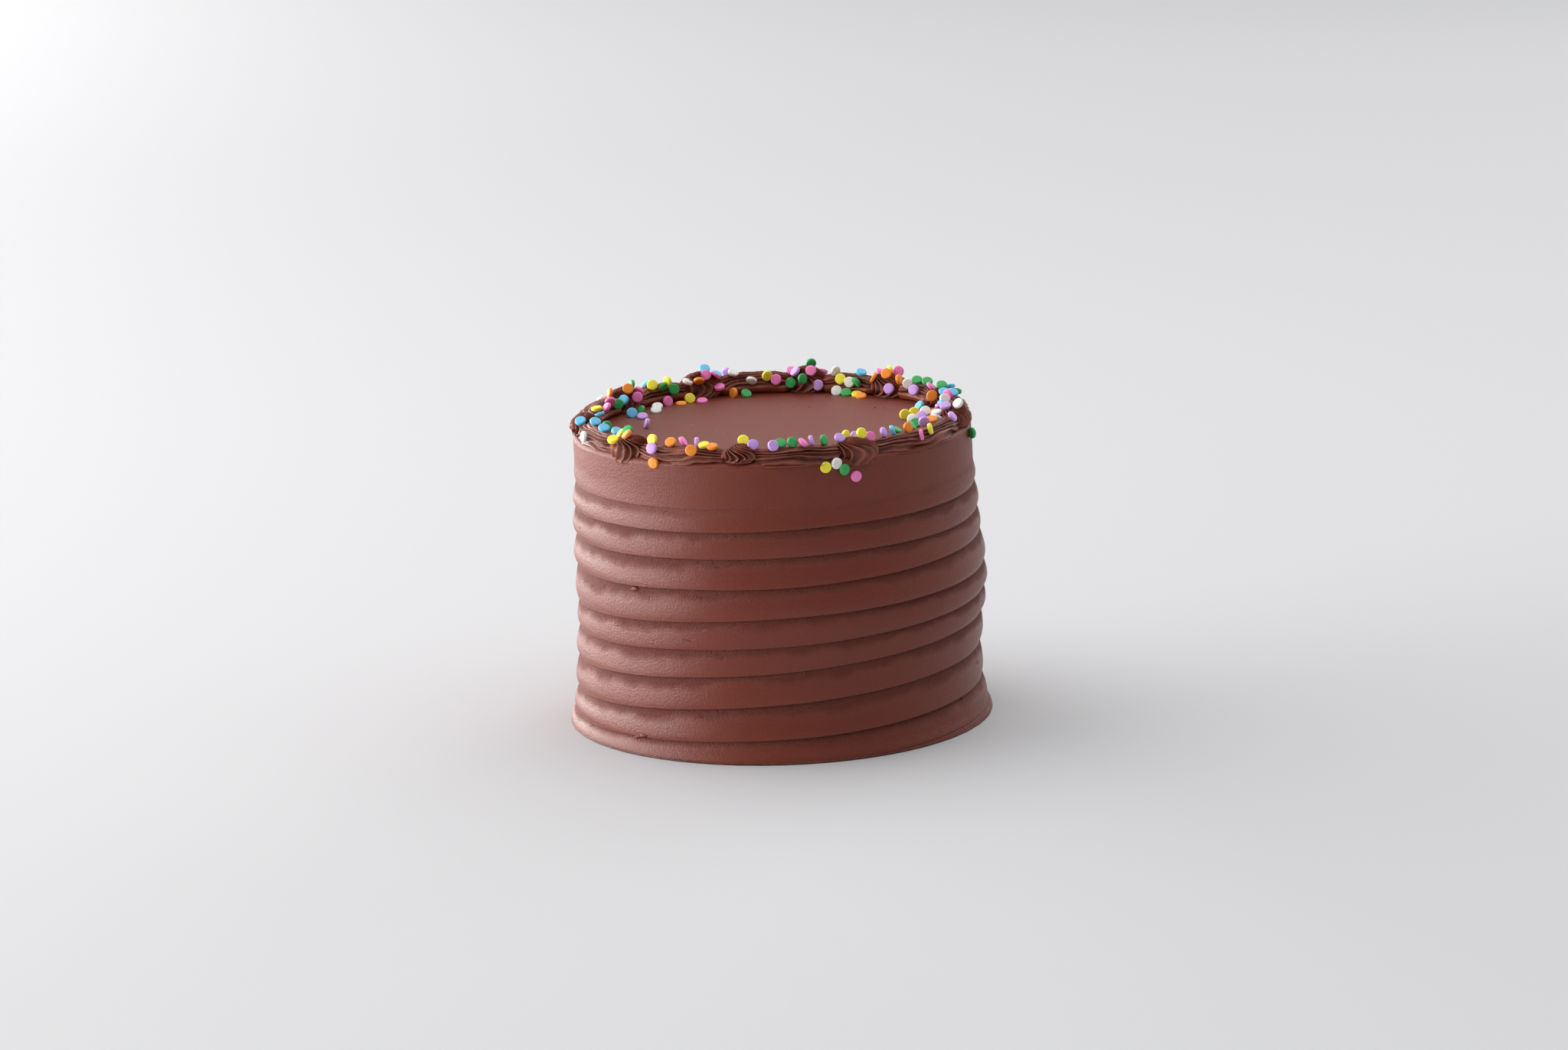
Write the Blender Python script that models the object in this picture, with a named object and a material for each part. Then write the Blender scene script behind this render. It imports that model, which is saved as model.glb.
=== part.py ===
"""A tall round chocolate cake: spatula-banded icing, a piped border of rosettes and garlands, sugar confetti.

Metres, +Z up. The origin is the middle of the flat base. The front of the cake looks along -Y, and an
azimuth is counted from the front towards +X, the cake's right side.
"""
import math
import random

import bmesh
import bpy
from mathutils import Matrix, Vector

MM = 0.001

# Iced body: a stack 155 mm tall, wider at the foot, narrowest at the top, which slopes a little to the back
TOP_HEIGHT = 155.2 * MM
TOP_SLOPE = 0.022
SLOPE_FROM = 135 * MM
SIDE_RADII = (
    (0 * MM, 110.4 * MM),
    (9 * MM, 107.5 * MM),
    (24 * MM, 106.0 * MM),
    (45 * MM, 105.8 * MM),
    (76 * MM, 106.9 * MM),
    (110 * MM, 105.0 * MM),
    (140 * MM, 103.2 * MM),
    (153 * MM, 102.9 * MM),
)
RIM_ROUNDING = 2.8 * MM
RIM_INSET = 2.4 * MM
BULGE_SHIFT = 2.2 * MM
BULGE_HEIGHT = 82 * MM
BULGE_SPREAD = 32 * MM

# One spatula mark climbs the side as a spiral: its height at the front, right, back and left of each turn
SPIRAL_TURNS = (
    (0.0, 5.0, 6.6, 7.2),
    (13.0, 20.0, 19.6, 20.0),
    (31.0, 39.0, 37.6, 37.2),
    (48.0, 56.5, 54.8, 54.2),
    (62.0, 69.0, 67.6, 67.6),
    (77.0, 82.0, 85.6, 87.6),
    (93.0, 98.4, 101.0, 103.8),
    (108.4, 110.6, 115.0, 118.2),
    (122.7, 124.6, 127.6, 131.0),
    (134.0, 137.0, 141.0, 146.0),
)
BAND_DEPTH = 2.6 * MM
BAND_NOSE = 0.1
NOSE_EDGE = 0.92
NOSE_FULLNESS = 1.7
DRAW_IN = 1.6
FRONT_SOFTENING = 0.62
DEPTH_WAVES = ((3, 60, 0.12), (1, 95, 0.16))
WALL_WAVE = (2, 30, 0.35 * MM)
UNMARKED_LEVEL = 0.6
SIDE_NOSE = 0.38
SIDE_ROUNDING = 0.55
SPIRAL_START = 0.45
SPIRAL_FADE = (8.72, 9.05)
BAND_ROWS = (0, 0.16, 0.5, 0.93)
SIDE_COLUMNS = 40
WELD = 0.02 * MM
SHARP_ANGLE = math.radians(35)

# Piped border: rosettes where a stroke starts, a ribbed garland from each one to the next
# Each rosette's azimuth in degrees, then its half length along the rim, half width and height in mm
ROSETTES = (
    (-49, 12.8, 9.6, 10.2),
    (-10, 10.2, 8.8, 9.0),
    (26, 13.0, 9.6, 9.0),
    (80, 12.4, 9.4, 12.0),
    (110, 12.6, 9.2, 11.0),
    (138, 13.0, 9.4, 12.9),
    (168, 12.4, 9.4, 13.9),
    (203, 13.2, 9.6, 14.3),
    (235, 12.6, 9.2, 13.0),
    (272, 12.8, 9.4, 11.2),
)
ROSETTE_RIBS = 8
ROSETTE_TWIST = math.radians(105)
ROSETTE_GROOVE = 0.14
ROSETTE_PROFILE = ((0.84, 0.0), (1.0, 0.26), (0.88, 0.58), (0.62, 0.82), (0.3, 0.96))
GARLAND_HALF_WIDTH = 7.0 * MM
GARLAND_HEIGHT = 9.0 * MM
GARLAND_FLATTENING = 2.0 * MM
GARLAND_VARIETY = 0.05
VARIETY_STEP = 2.4
GARLAND_GROOVE = 0.13
GARLAND_RIDGES = (14, 52, 90, 128, 166)
GARLAND_FOOT = -48
GARLAND_STATIONS = 6
GARLAND_TAPER = 0.92
BORDER_RADIUS = 97.2 * MM
GARLAND_INSET = 0.9 * MM
GARLAND_SIDE_LEVEL = 0.4
ROSETTE_END = 0.2
GARLAND_SAG = 1.5 * MM
CLEARANCE = 0.35 * MM

# Sugar confetti: flat round pieces
CONFETTI_RADIUS = 2.95 * MM
CONFETTI_THICKNESS = 2.0 * MM
CONFETTI_SIDES = 8
CONFETTI_SINK = 0.95 * MM
EDGE_SINK = 0.55 * MM
CONFETTI_SEED = 58
CONFETTI_SPACING = 4.7 * MM
CONFETTI_TRIES = 900

# Confetti on the side: azimuth, height in mm, angle of its face off the wall
SIDE_CONFETTI = (
    (-36, 155.6, 4), (18.2, 155.2, 14), (15, 153.6, 4), (20.4, 151.6, 20), (24, 147.2, 4),
    (79, 151.6, 40),
)

# Confetti along the front: azimuth, place over the border, yaw and pitch of its face
FRONT_CONFETTI = (
    (-69, 8, 0, 8), (-52, 45, 40, 60), (-54.5, 96, -26, 40), (-48, 70, -28, 50), (-52, 104, 10, 40),
    (-39, 84, 0, 14), (-36.5, 30, 4, 12), (-32, 86, 10, 50), (-29, 116, 105, 32),
    (-23.6, 36, 20, 20), (-24, 112, 106, 4), (-21.2, 96, 0, 74), (-18.4, 84, 8, 74),
    (-9, 104, 0, 8), (-5.9, 92, 10, 14), (0.2, 66, 30, 24), (2.4, 96, 10, 50), (6, 92, 30, 24),
    (9.2, 84, 74, 46), (12, 100, 76, 14), (15.8, 92, 46, 16), (21.4, 104, 10, 44),
    (24.5, 124, 30, 4), (28, 88, 10, 16), (28.4, 134, 20, 30), (31.8, 104, 0, 20),
    (37.5, 112, 34, 20), (41, 112, 50, 20), (44.2, 134, 30, 60), (46, 92, 0, 14),
    (49.5, 112, 20, 40), (52, 42, 30, 14), (47, 26, 46, 8),
)

# Confetti on the rest of the border, heaped with its faces to the front: azimuth, place over it, lean off that,
# spin of the lean
HEAP_FRONT = Vector((0, -0.9, 0.44))
HEAP_SHARE = 0.58
HEAP_CONFETTI = (
    (-82.6, 62, 10, 0), (-98, 122, 38, 67), (-86, 128, 66, 82), (-75, 108, 8, 0),
    (-67, 124, 38, 268), (-64, 96, 8, 0), (-59, 116, 10, 0), (-105, 150, 66, 287),
    (-111, 138, 60, 40), (-114.5, 158, 20, 0), (-120, 138, 38, 310), (-124, 120, 12, 0),
    (-128.5, 102, 66, 132), (-129.5, 128, 70, 0), (-126, 148, 12, 0), (-137.5, 120, 20, 0),
    (-141, 140, 75, 80), (-144, 118, 66, 337), (-145, 158, 12, 0), (-151.5, 122, 38, 193),
    (-154.5, 138, 75, 40), (-157.5, 126, 14, 0), (-161.5, 120, 66, 182), (-158.5, 96, 10, 0),
    (-162.5, 94, 20, 0), (-162, 154, 38, 235), (-168, 108, 20, 0), (-173.5, 160, 66, 27),
    (-179, 145, 38, 76), (178, 158, 12, 0), (173, 96, 14, 0), (171.5, 122, 38, 277),
    (166.5, 98, 66, 232), (166, 124, 14, 0), (168.5, 148, 38, 118), (173, 150, 10, 0),
    (163.4, 158, 14, 0), (158, 112, 66, 77), (155.5, 150, 12, 0), (152, 162, 12, 0),
    (149, 160, 70, 0), (149.2, 102, 20, 0), (143, 122, 66, 282), (141.5, 98, 38, 1),
    (137.5, 116, 12, 0), (134.5, 154, 10, 0), (135, 88, 38, 202), (132.6, 112, 66, 127),
    (125, 104, 10, 0), (126.5, 138, 38, 43), (122.5, 158, 12, 0), (120.6, 92, 8, 0),
    (113, 116, 66, 332), (109.5, 94, 10, 0), (105.5, 102, 14, 0), (107, 140, 38, 85),
    (99.4, 90, 12, 0), (97, 114, 66, 177), (94, 134, 38, 286), (91.5, 158, 40, 0),
    (76.6, 112, 14, 0), (77, 74, 38, 127), (82.5, 136, 66, 22), (77, 144, 30, 0),
    (68.8, 58, 38, 328), (62, 120, 12, 0), (66.4, 122, 50, 0), (57, 118, 66, 227),
)

# Confetti on the top beside the border: azimuth, radius in mm, yaw from the front and pitch of its face
TOP_CONFETTI = (
    (-133.5, 84, 0, 66), (-127, 77, 0, 62), (-121.5, 81.5, -70, 30), (-114, 75, 0, 66),
    (-116, 82.5, 10, 30), (-94, 66, -80, 20), (-144, 82, 0, 82), (-149, 84.5, 20, 25),
    (-152.5, 80, 0, 74), (-140, 86, 40, 10), (-171, 84, 30, 50), (-166.5, 86, -52, 10),
    (156, 87.5, 0, 30), (152, 86.8, 0, 55), (147.8, 87, 0, 70), (144.5, 83.5, 0, 70),
    (110.5, 84, -60, 40), (99.5, 82.5, 0, 40), (89, 79, -20, 30), (97, 76, 10, 20),
    (94, 70.5, 20, 8), (83, 74.5, -20, 20), (76, 77.5, 0, 40), (94.8, 86.6, 30, 45),
)

# Confetti behind, where the photo shows none: from azimuth, to azimuth, pieces
HIDDEN_STRETCH = (100, 260, 9)
HIDDEN_PLACES = (18, 88, 60)
HIDDEN_LEANS = (0, 95, 18)

ICING_COLOUR = (0.115, 0.036, 0.021, 1.0)
PIPING_COLOUR = (0.085, 0.025, 0.014, 1.0)


def clear_scene():
    for item in list(bpy.data.objects):
        bpy.data.objects.remove(item, do_unlink=True)


def icing_material(name, colour, roughness):
    material = bpy.data.materials.new(name)
    material.use_nodes = True
    shader = material.node_tree.nodes["Principled BSDF"]
    shader.inputs["Base Color"].default_value = colour
    shader.inputs["Roughness"].default_value = roughness
    shader.inputs["Metallic"].default_value = 0.0
    return material


def blend(low, high, share):
    return low + (high - low) * share


def smooth_step(value):
    value = min(max(value, 0.0), 1.0)
    return value * value * (3 - 2 * value)


def polar(azimuth, radius, height):
    return Vector((radius * math.sin(azimuth), -radius * math.cos(azimuth), height))


def curve_through(values, place):
    """A smooth curve through evenly spaced values, read at a fractional place."""
    last = len(values) - 1
    index = min(max(int(place), 0), last - 1)
    share = min(max(place - index, 0.0), 1.0)
    before, start = values[max(index - 1, 0)], values[index]
    end, after = values[index + 1], values[min(index + 2, last)]
    leave, arrive = (end - before) / 2, (after - start) / 2
    return (start + leave * share + (3 * (end - start) - 2 * leave - arrive) * share ** 2
            + (2 * (start - end) + leave + arrive) * share ** 3)


def mark_height(turn):
    """Height of the spatula mark after so many turns, which starts at the base and ends at the rim."""
    quarters = [height * MM for heights in SPIRAL_TURNS for height in heights] + [TOP_HEIGHT - RIM_ROUNDING]
    return curve_through(quarters, turn * 4)


def mark_strength(turn):
    begin = smooth_step(turn / SPIRAL_START)
    fade_from, fade_to = SPIRAL_FADE
    return begin * (1 - smooth_step((turn - fade_from) / (fade_to - fade_from)))


def side_radius(height):
    for (low, low_radius), (high, high_radius) in zip(SIDE_RADII, SIDE_RADII[1:]):
        if height <= high:
            return blend(low_radius, high_radius, smooth_step((height - low) / (high - low)))
    return SIDE_RADII[-1][1]


def top_height(point):
    """Height of the sloping top above or below a point."""
    return TOP_HEIGHT - TOP_SLOPE * point.y


def follow_slope(azimuth, height):
    """Heights near the rim follow the slope of the top."""
    share = smooth_step((height - SLOPE_FROM) / (TOP_HEIGHT - SLOPE_FROM))
    return height + TOP_SLOPE * SIDE_RADII[-1][1] * math.cos(azimuth) * share


def bulge_shift(height):
    return BULGE_SHIFT * math.exp(-((height - BULGE_HEIGHT) / BULGE_SPREAD) ** 2)


def band_relief(share, low_strength, high_strength):
    """Relief of a band, 0 to 1: a rounded nose over its lower mark, drawn in below the mark above it."""
    if share < BAND_NOSE:
        nose = 1 - (1 - NOSE_EDGE) * ((BAND_NOSE - share) / BAND_NOSE) ** NOSE_FULLNESS
    else:
        nose = 1 - ((share - BAND_NOSE) / (1 - BAND_NOSE)) ** DRAW_IN
    return blend(UNMARKED_LEVEL, nose, blend(low_strength, high_strength, share))


def side_rounding(azimuth, share):
    """How far the lower edge of a band is rounded off at the cake's left and right, of a relief of 1."""
    return SIDE_ROUNDING * math.sin(azimuth) ** 8 * max(1 - share / SIDE_NOSE, 0) ** 2


def band_depth(azimuth, height):
    softer = FRONT_SOFTENING * max(math.cos(azimuth), 0) ** 2
    waves = sum(share * math.sin(azimuth * around + height * up) for around, up, share in DEPTH_WAVES)
    return BAND_DEPTH * (1 - softer + waves)


def wall_point(azimuth, height, relief):
    around, up, swing = WALL_WAVE
    radius = side_radius(height) + band_depth(azimuth, height) * relief
    radius += swing * math.sin(azimuth * around + height * up)
    point = polar(azimuth, radius, height)
    point.x += bulge_shift(height)
    return point


def side_point(share_round, row):
    """The icing's side: share_round 0 to 1 from the front, row counted in bands from the base."""
    azimuth = share_round * math.tau
    band, share = int(row), row - int(row)
    low = mark_height(band - 1 + share_round) if band else 0.0
    high = mark_height(band + share_round)
    low_strength = mark_strength(band - 1 + share_round) if band else 0.0
    height = follow_slope(azimuth, blend(low, high, share))
    relief = band_relief(share, low_strength, mark_strength(band + share_round))
    return wall_point(azimuth, height, relief - side_rounding(azimuth, share) * low_strength)


def body_rows():
    """Rows of points up the side: one band below each turn of the mark, and the plain one below the rim."""
    bands = len(SPIRAL_TURNS) + 1
    rows = [band + share for band in range(bands) for share in BAND_ROWS]
    return rows + [float(bands)]


def iced_body():
    rows = body_rows()
    form = bmesh.new()
    columns = []
    for column in range(SIDE_COLUMNS + 1):
        share_round = column / SIDE_COLUMNS
        columns.append([form.verts.new(side_point(share_round, row)) for row in rows])
    for left, right in zip(columns, columns[1:]):
        for row in range(len(rows) - 1):
            form.faces.new((left[row], right[row], right[row + 1], left[row + 1]))
    bmesh.ops.remove_doubles(form, verts=form.verts, dist=WELD)
    bmesh.ops.dissolve_degenerate(form, edges=form.edges, dist=WELD)
    rim_and_base(form)
    return form


def open_loop(form, at_top):
    middle = TOP_HEIGHT / 2
    return [edge for edge in form.edges
            if edge.is_boundary and (edge.verts[0].co.z > middle) == at_top]


def rim_and_base(form):
    rim = open_loop(form, True)
    turned = bmesh.ops.extrude_edge_only(form, edges=rim)["geom"]
    inner = [item for item in turned if isinstance(item, bmesh.types.BMVert)]
    for vertex in inner:
        vertex.co.x *= 1 - RIM_INSET / BORDER_RADIUS
        vertex.co.y *= 1 - RIM_INSET / BORDER_RADIUS
        vertex.co.z = top_height(vertex.co)
    bmesh.ops.contextual_create(form, geom=open_loop(form, True))
    bmesh.ops.contextual_create(form, geom=open_loop(form, False))
    bmesh.ops.recalc_face_normals(form, faces=form.faces)


def rosette_azimuth(index):
    return math.radians(ROSETTES[index % len(ROSETTES)][0])


def rosette_size(index):
    """Half length along the rim, half width across it, and height."""
    along, across, height = ROSETTES[index % len(ROSETTES)][1:]
    return along * MM, across * MM, height * MM


def border_span(azimuth):
    """The rosette or garland at an azimuth: its kind, its index, and the distance along it."""
    for index in range(len(ROSETTES)):
        away = (azimuth - rosette_azimuth(index) + math.pi) % math.tau - math.pi
        distance = away * BORDER_RADIUS
        if abs(distance) <= rosette_size(index)[0] + CLEARANCE:
            return "rosette", index, distance
    for index in range(len(ROSETTES)):
        start, end = garland_ends(index)
        passed = (azimuth - start) % math.tau
        if passed <= end - start:
            return "garland", index, passed * BORDER_RADIUS
    return "garland", 0, 0.0


def garland_ends(index):
    start = rosette_azimuth(index)
    end = rosette_azimuth(index + 1)
    while end < start:
        end += math.tau
    start += (rosette_size(index)[0] + CLEARANCE) / BORDER_RADIUS
    end -= (rosette_size(index + 1)[0] + CLEARANCE) / BORDER_RADIUS
    return start, end


def garland_section(index, azimuth):
    """Middle radius, half width and height of a garland, which hangs outwards between its two ends."""
    start, end = garland_ends(index)
    share = ((azimuth - start) % math.tau) / (end - start)
    swell = 1 - abs(2 * min(share, 1.0) - 1) ** 4
    size = blend(GARLAND_TAPER, 1.0, swell) * (1 + GARLAND_VARIETY * math.sin(index * VARIETY_STEP))
    height = GARLAND_HEIGHT - GARLAND_FLATTENING * math.cos(azimuth)
    return BORDER_RADIUS - GARLAND_INSET + GARLAND_SAG * swell, GARLAND_HALF_WIDTH * size, height * size


def closed_form(form, rings, tip=None):
    """Skins rings of points into one closed shell, with a flat first end and a flat or pointed last end."""
    loops = [[form.verts.new(point) for point in ring] for ring in rings]
    count = len(loops[0])
    for low, high in zip(loops, loops[1:]):
        for index in range(count):
            after = (index + 1) % count
            form.faces.new((low[index], low[after], high[after], high[index]))
    form.faces.new(loops[0])
    if tip is None:
        form.faces.new(loops[-1])
    else:
        peak = form.verts.new(tip)
        for index in range(count):
            form.faces.new((loops[-1][index], loops[-1][(index + 1) % count], peak))
    bmesh.ops.recalc_face_normals(form, faces=form.faces)


def rosette_point(index, turn, width, level):
    """A point of a rosette: turn round its own middle, width and level as shares of its size."""
    along, across, height = rosette_size(index)
    middle = rosette_azimuth(index)
    outward = Vector((math.sin(middle), -math.cos(middle), 0))
    sideways = Vector((math.cos(middle), math.sin(middle), 0))
    reach = outward * math.cos(turn) * across * width + sideways * math.sin(turn) * along * width
    point = outward * BORDER_RADIUS + reach
    point.z = top_height(point) + CLEARANCE + height * level
    return point


def rosette(index):
    form = bmesh.new()
    points = ROSETTE_RIBS * 2
    rings = []
    for width, level in ROSETTE_PROFILE:
        ring = []
        for point in range(points):
            groove = 1 - ROSETTE_GROOVE * (point % 2)
            turn = point / points * math.tau - ROSETTE_TWIST * level
            ring.append(rosette_point(index, turn, width * groove, level))
        rings.append(ring)
    closed_form(form, rings, rosette_point(index, 0, 0, 1.0))
    return form


def garland_outline():
    """Angles over the garland with the share of its size there: ridges at full size, grooves drawn in."""
    half_step = (GARLAND_RIDGES[1] - GARLAND_RIDGES[0]) / 2
    outline = [(GARLAND_FOOT, 1.0)]
    for ridge in GARLAND_RIDGES:
        outline.append((ridge - half_step, 1 - GARLAND_GROOVE))
        outline.append((ridge, 1.0))
    outline.append((GARLAND_RIDGES[-1] + half_step, 1 - GARLAND_GROOVE))
    outline.append((180 - GARLAND_FOOT, 1.0))
    return outline


def garland_point(index, azimuth, angle, size):
    radius, half_width, height = garland_section(index, azimuth)
    middle = 1 / (1 - 1 / math.sin(math.radians(GARLAND_FOOT)))
    across = half_width * math.cos(angle) * size
    rise = height * (middle + (1 - middle) * math.sin(angle) * size)
    point = polar(azimuth, radius + across, 0)
    point.z = top_height(point) + CLEARANCE + max(rise, 0.0)
    return point


def garland(index):
    form = bmesh.new()
    start, end = garland_ends(index)
    rings = []
    for station in range(GARLAND_STATIONS):
        azimuth = blend(start, end, station / (GARLAND_STATIONS - 1))
        rings.append([garland_point(index, azimuth, math.radians(angle), size)
                      for angle, size in garland_outline()])
    closed_form(form, rings)
    return form


def border_surface(azimuth, over):
    """A point on the border's smooth outline and the direction straight out of it there."""
    kind, index, distance = border_span(azimuth)
    if kind == "rosette":
        along, across, height = rosette_size(index)
        narrowing = math.sqrt(max(1 - (distance / along) ** 2, ROSETTE_END ** 2))
        radius, half_width, height = BORDER_RADIUS, across * narrowing, height * narrowing
        foot = 0.0
    else:
        radius, half_width, height = garland_section(index, azimuth)
        foot = GARLAND_SIDE_LEVEL
    across = half_width * math.cos(over)
    rise = height * (foot + (1 - foot) * math.sin(over))
    place = polar(azimuth, radius + across, 0)
    place.z = top_height(place) + CLEARANCE + rise
    steep = math.atan2(math.sin(over) * half_width, math.cos(over) * height * (1 - foot))
    outward = polar(azimuth, math.cos(steep), math.sin(steep))
    return kind, index, distance, place, outward


def facing(azimuth, yaw, pitch):
    flat = math.cos(pitch)
    return polar(azimuth + yaw, flat, math.sin(pitch))


def tilted(outward, lean, spin):
    """The direction that leans off another one by an angle, turned round it by spin."""
    aside = outward.orthogonal()
    aside.rotate(Matrix.Rotation(spin, 3, outward))
    return (outward * math.cos(lean) + aside * math.sin(lean)).normalized()


def heaped(azimuth, over):
    """The face of heaped confetti: between straight off the border and towards the front."""
    outward = border_surface(azimuth, over)[4]
    return (outward * (1 - HEAP_SHARE) + HEAP_FRONT * HEAP_SHARE).normalized()


def confetti_reach(face, direction):
    """How far a piece of confetti reaches from its middle along a direction."""
    lean = abs(face.dot(direction))
    return CONFETTI_RADIUS * math.sqrt(max(1 - lean * lean, 0)) + CONFETTI_THICKNESS / 2 * lean


def resting_place(azimuth, over, face):
    """Host, middle and face of a confetti piece on the border, or None where it would foul a neighbour."""
    kind, index, distance, place, outward = border_surface(azimuth, over)
    lean = abs(face.dot(outward))
    sink = CONFETTI_SINK + EDGE_SINK * math.sqrt(max(1 - lean * lean, 0))
    middle = place + outward * (confetti_reach(face, outward) - sink)
    sideways = Vector((math.cos(azimuth), math.sin(azimuth), 0))
    reach = confetti_reach(face, sideways)
    if kind == "rosette":
        room = rosette_size(index)[0] - abs(distance) - reach
    else:
        start, end = garland_ends(index)
        length = (end - start) * BORDER_RADIUS
        room = min(distance, length - distance) - reach
    low = middle.z - confetti_reach(face, Vector((0, 0, 1)))
    if room < 0 or low < top_height(middle) + CLEARANCE:
        return None
    return f"{kind}_{index + 1:02d}", middle, face


def border_confetti():
    places = []
    for azimuth, over, yaw, pitch in FRONT_CONFETTI:
        turned = math.radians(azimuth)
        face = facing(turned, math.radians(yaw), math.radians(pitch))
        add_place(places, resting_place(turned, math.radians(over), face))
    for row in HEAP_CONFETTI:
        azimuth, over, lean, spin = (math.radians(angle) for angle in row)
        face = tilted(heaped(azimuth, over), lean, spin)
        add_place(places, resting_place(azimuth, over, face))
    scatter(places, random.Random(CONFETTI_SEED), *HIDDEN_STRETCH)
    return places


def scatter(places, draw, start, end, pieces):
    wanted = len(places) + pieces
    for _ in range(CONFETTI_TRIES):
        azimuth = math.radians(draw.uniform(start, end))
        over = math.radians(draw.triangular(*HIDDEN_PLACES))
        lean = math.radians(draw.triangular(*HIDDEN_LEANS))
        face = tilted(border_surface(azimuth, over)[4], lean, draw.uniform(0, math.tau))
        add_place(places, resting_place(azimuth, over, face))
        if len(places) >= wanted:
            return


def add_place(places, place):
    if place is None:
        return
    if all((place[1] - other[1]).length > CONFETTI_SPACING for other in places):
        places.append(place)


def side_confetti():
    places = []
    for azimuth, height, lean in SIDE_CONFETTI:
        turned = math.radians(azimuth)
        face = facing(turned, math.radians(lean), 0)
        outward = polar(turned, 1, 0)
        wall = wall_point(turned, height * MM, UNMARKED_LEVEL)
        middle = wall + outward * (confetti_reach(face, outward) - CONFETTI_SINK)
        places.append(("iced_cake", middle, face))
    return places


def top_confetti():
    places = []
    upward = Vector((0, 0, 1))
    for azimuth, radius, yaw, pitch in TOP_CONFETTI:
        face = facing(0, math.radians(yaw), math.radians(pitch))
        middle = polar(math.radians(azimuth), radius * MM, 0)
        middle.z = top_height(middle) + confetti_reach(face, upward) - CONFETTI_SINK
        places.append(("iced_cake", middle, face))
    return places


def confetti_piece(place, face, collection):
    form = bmesh.new()
    turn = face.to_track_quat("Z", "Y").to_matrix().to_4x4()
    bmesh.ops.create_cone(form, cap_ends=True, segments=CONFETTI_SIDES, radius1=CONFETTI_RADIUS,
                          radius2=CONFETTI_RADIUS, depth=CONFETTI_THICKNESS,
                          matrix=Matrix.Translation(place) @ turn)
    mesh = bpy.data.meshes.new("confetti")
    form.to_mesh(mesh)
    form.free()
    piece = bpy.data.objects.new("confetti", mesh)
    collection.objects.link(piece)


def fuse(host, places):
    """Joins the confetti that lies on a piece of icing to it, as one closed solid."""
    collection = bpy.data.collections.new("confetti_pieces")
    bpy.context.scene.collection.children.link(collection)
    for _, place, face in places:
        confetti_piece(place, face, collection)
    union = host.modifiers.new("confetti", "BOOLEAN")
    union.operation = "UNION"
    union.operand_type = "COLLECTION"
    union.collection = collection
    union.solver = "EXACT"
    bpy.context.view_layer.update()
    fused = bpy.data.meshes.new_from_object(host.evaluated_get(bpy.context.evaluated_depsgraph_get()))
    host.modifiers.clear()
    host.data = fused
    drop_scraps(fused)
    for piece in list(collection.objects):
        bpy.data.objects.remove(piece, do_unlink=True)
    bpy.data.collections.remove(collection)


def connected_points(start):
    found, edge_of_search = {start}, [start]
    while edge_of_search:
        for edge in edge_of_search.pop().link_edges:
            for point in edge.verts:
                if point not in found:
                    found.add(point)
                    edge_of_search.append(point)
    return found


def drop_scraps(mesh):
    """Keeps the largest body of a fused mesh, without any piece that hangs free of it."""
    form = bmesh.new()
    form.from_mesh(mesh)
    left, bodies = set(form.verts), []
    while left:
        body = connected_points(next(iter(left)))
        bodies.append(body)
        left -= body
    keep = max(bodies, key=len)
    bmesh.ops.delete(form, geom=[point for point in form.verts if point not in keep], context="VERTS")
    form.to_mesh(mesh)
    form.free()


def add_node(name, form, material, confetti):
    mesh = bpy.data.meshes.new(name)
    form.to_mesh(mesh)
    form.free()
    mesh.materials.append(material)
    node = bpy.data.objects.new(name, mesh)
    bpy.context.scene.collection.objects.link(node)
    on_this = [place for place in confetti if place[0] == name]
    if on_this:
        fuse(node, on_this)
    node.data.shade_smooth()
    node.data.set_sharp_from_angle(angle=SHARP_ANGLE)
    return node


def build_cake():
    clear_scene()
    icing = icing_material("chocolate_icing", ICING_COLOUR, 0.5)
    piping = icing_material("piped_chocolate", PIPING_COLOUR, 0.42)
    confetti = side_confetti() + top_confetti() + border_confetti()
    add_node("iced_cake", iced_body(), icing, confetti)
    for index in range(len(ROSETTES)):
        add_node(f"rosette_{index + 1:02d}", rosette(index), piping, confetti)
        add_node(f"garland_{index + 1:02d}", garland(index), piping, confetti)


build_cake()
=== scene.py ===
"""Looks of the chocolate cake: the spatula-banded icing, the piped border and the sugar confetti.

Metres, +Z up. The origin is the middle of the flat base. The front of the cake looks along -Y, and an
azimuth is counted from the front towards +X. The driving sizes are the ones the solids were made from.
"""
import math
import random

import bmesh
import bpy
from mathutils import Matrix, Vector, noise


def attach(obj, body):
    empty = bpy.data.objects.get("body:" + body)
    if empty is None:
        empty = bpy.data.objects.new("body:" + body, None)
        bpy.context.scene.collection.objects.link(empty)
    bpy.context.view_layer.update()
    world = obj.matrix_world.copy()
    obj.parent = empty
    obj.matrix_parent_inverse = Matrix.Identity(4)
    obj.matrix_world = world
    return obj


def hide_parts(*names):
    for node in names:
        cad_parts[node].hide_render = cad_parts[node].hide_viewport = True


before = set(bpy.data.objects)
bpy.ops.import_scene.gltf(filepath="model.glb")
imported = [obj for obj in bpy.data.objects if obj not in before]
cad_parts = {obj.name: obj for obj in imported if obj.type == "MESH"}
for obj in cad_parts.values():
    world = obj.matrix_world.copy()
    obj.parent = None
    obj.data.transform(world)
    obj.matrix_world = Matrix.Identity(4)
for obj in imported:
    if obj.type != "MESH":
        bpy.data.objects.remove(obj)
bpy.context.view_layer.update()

MM = 0.001

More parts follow.
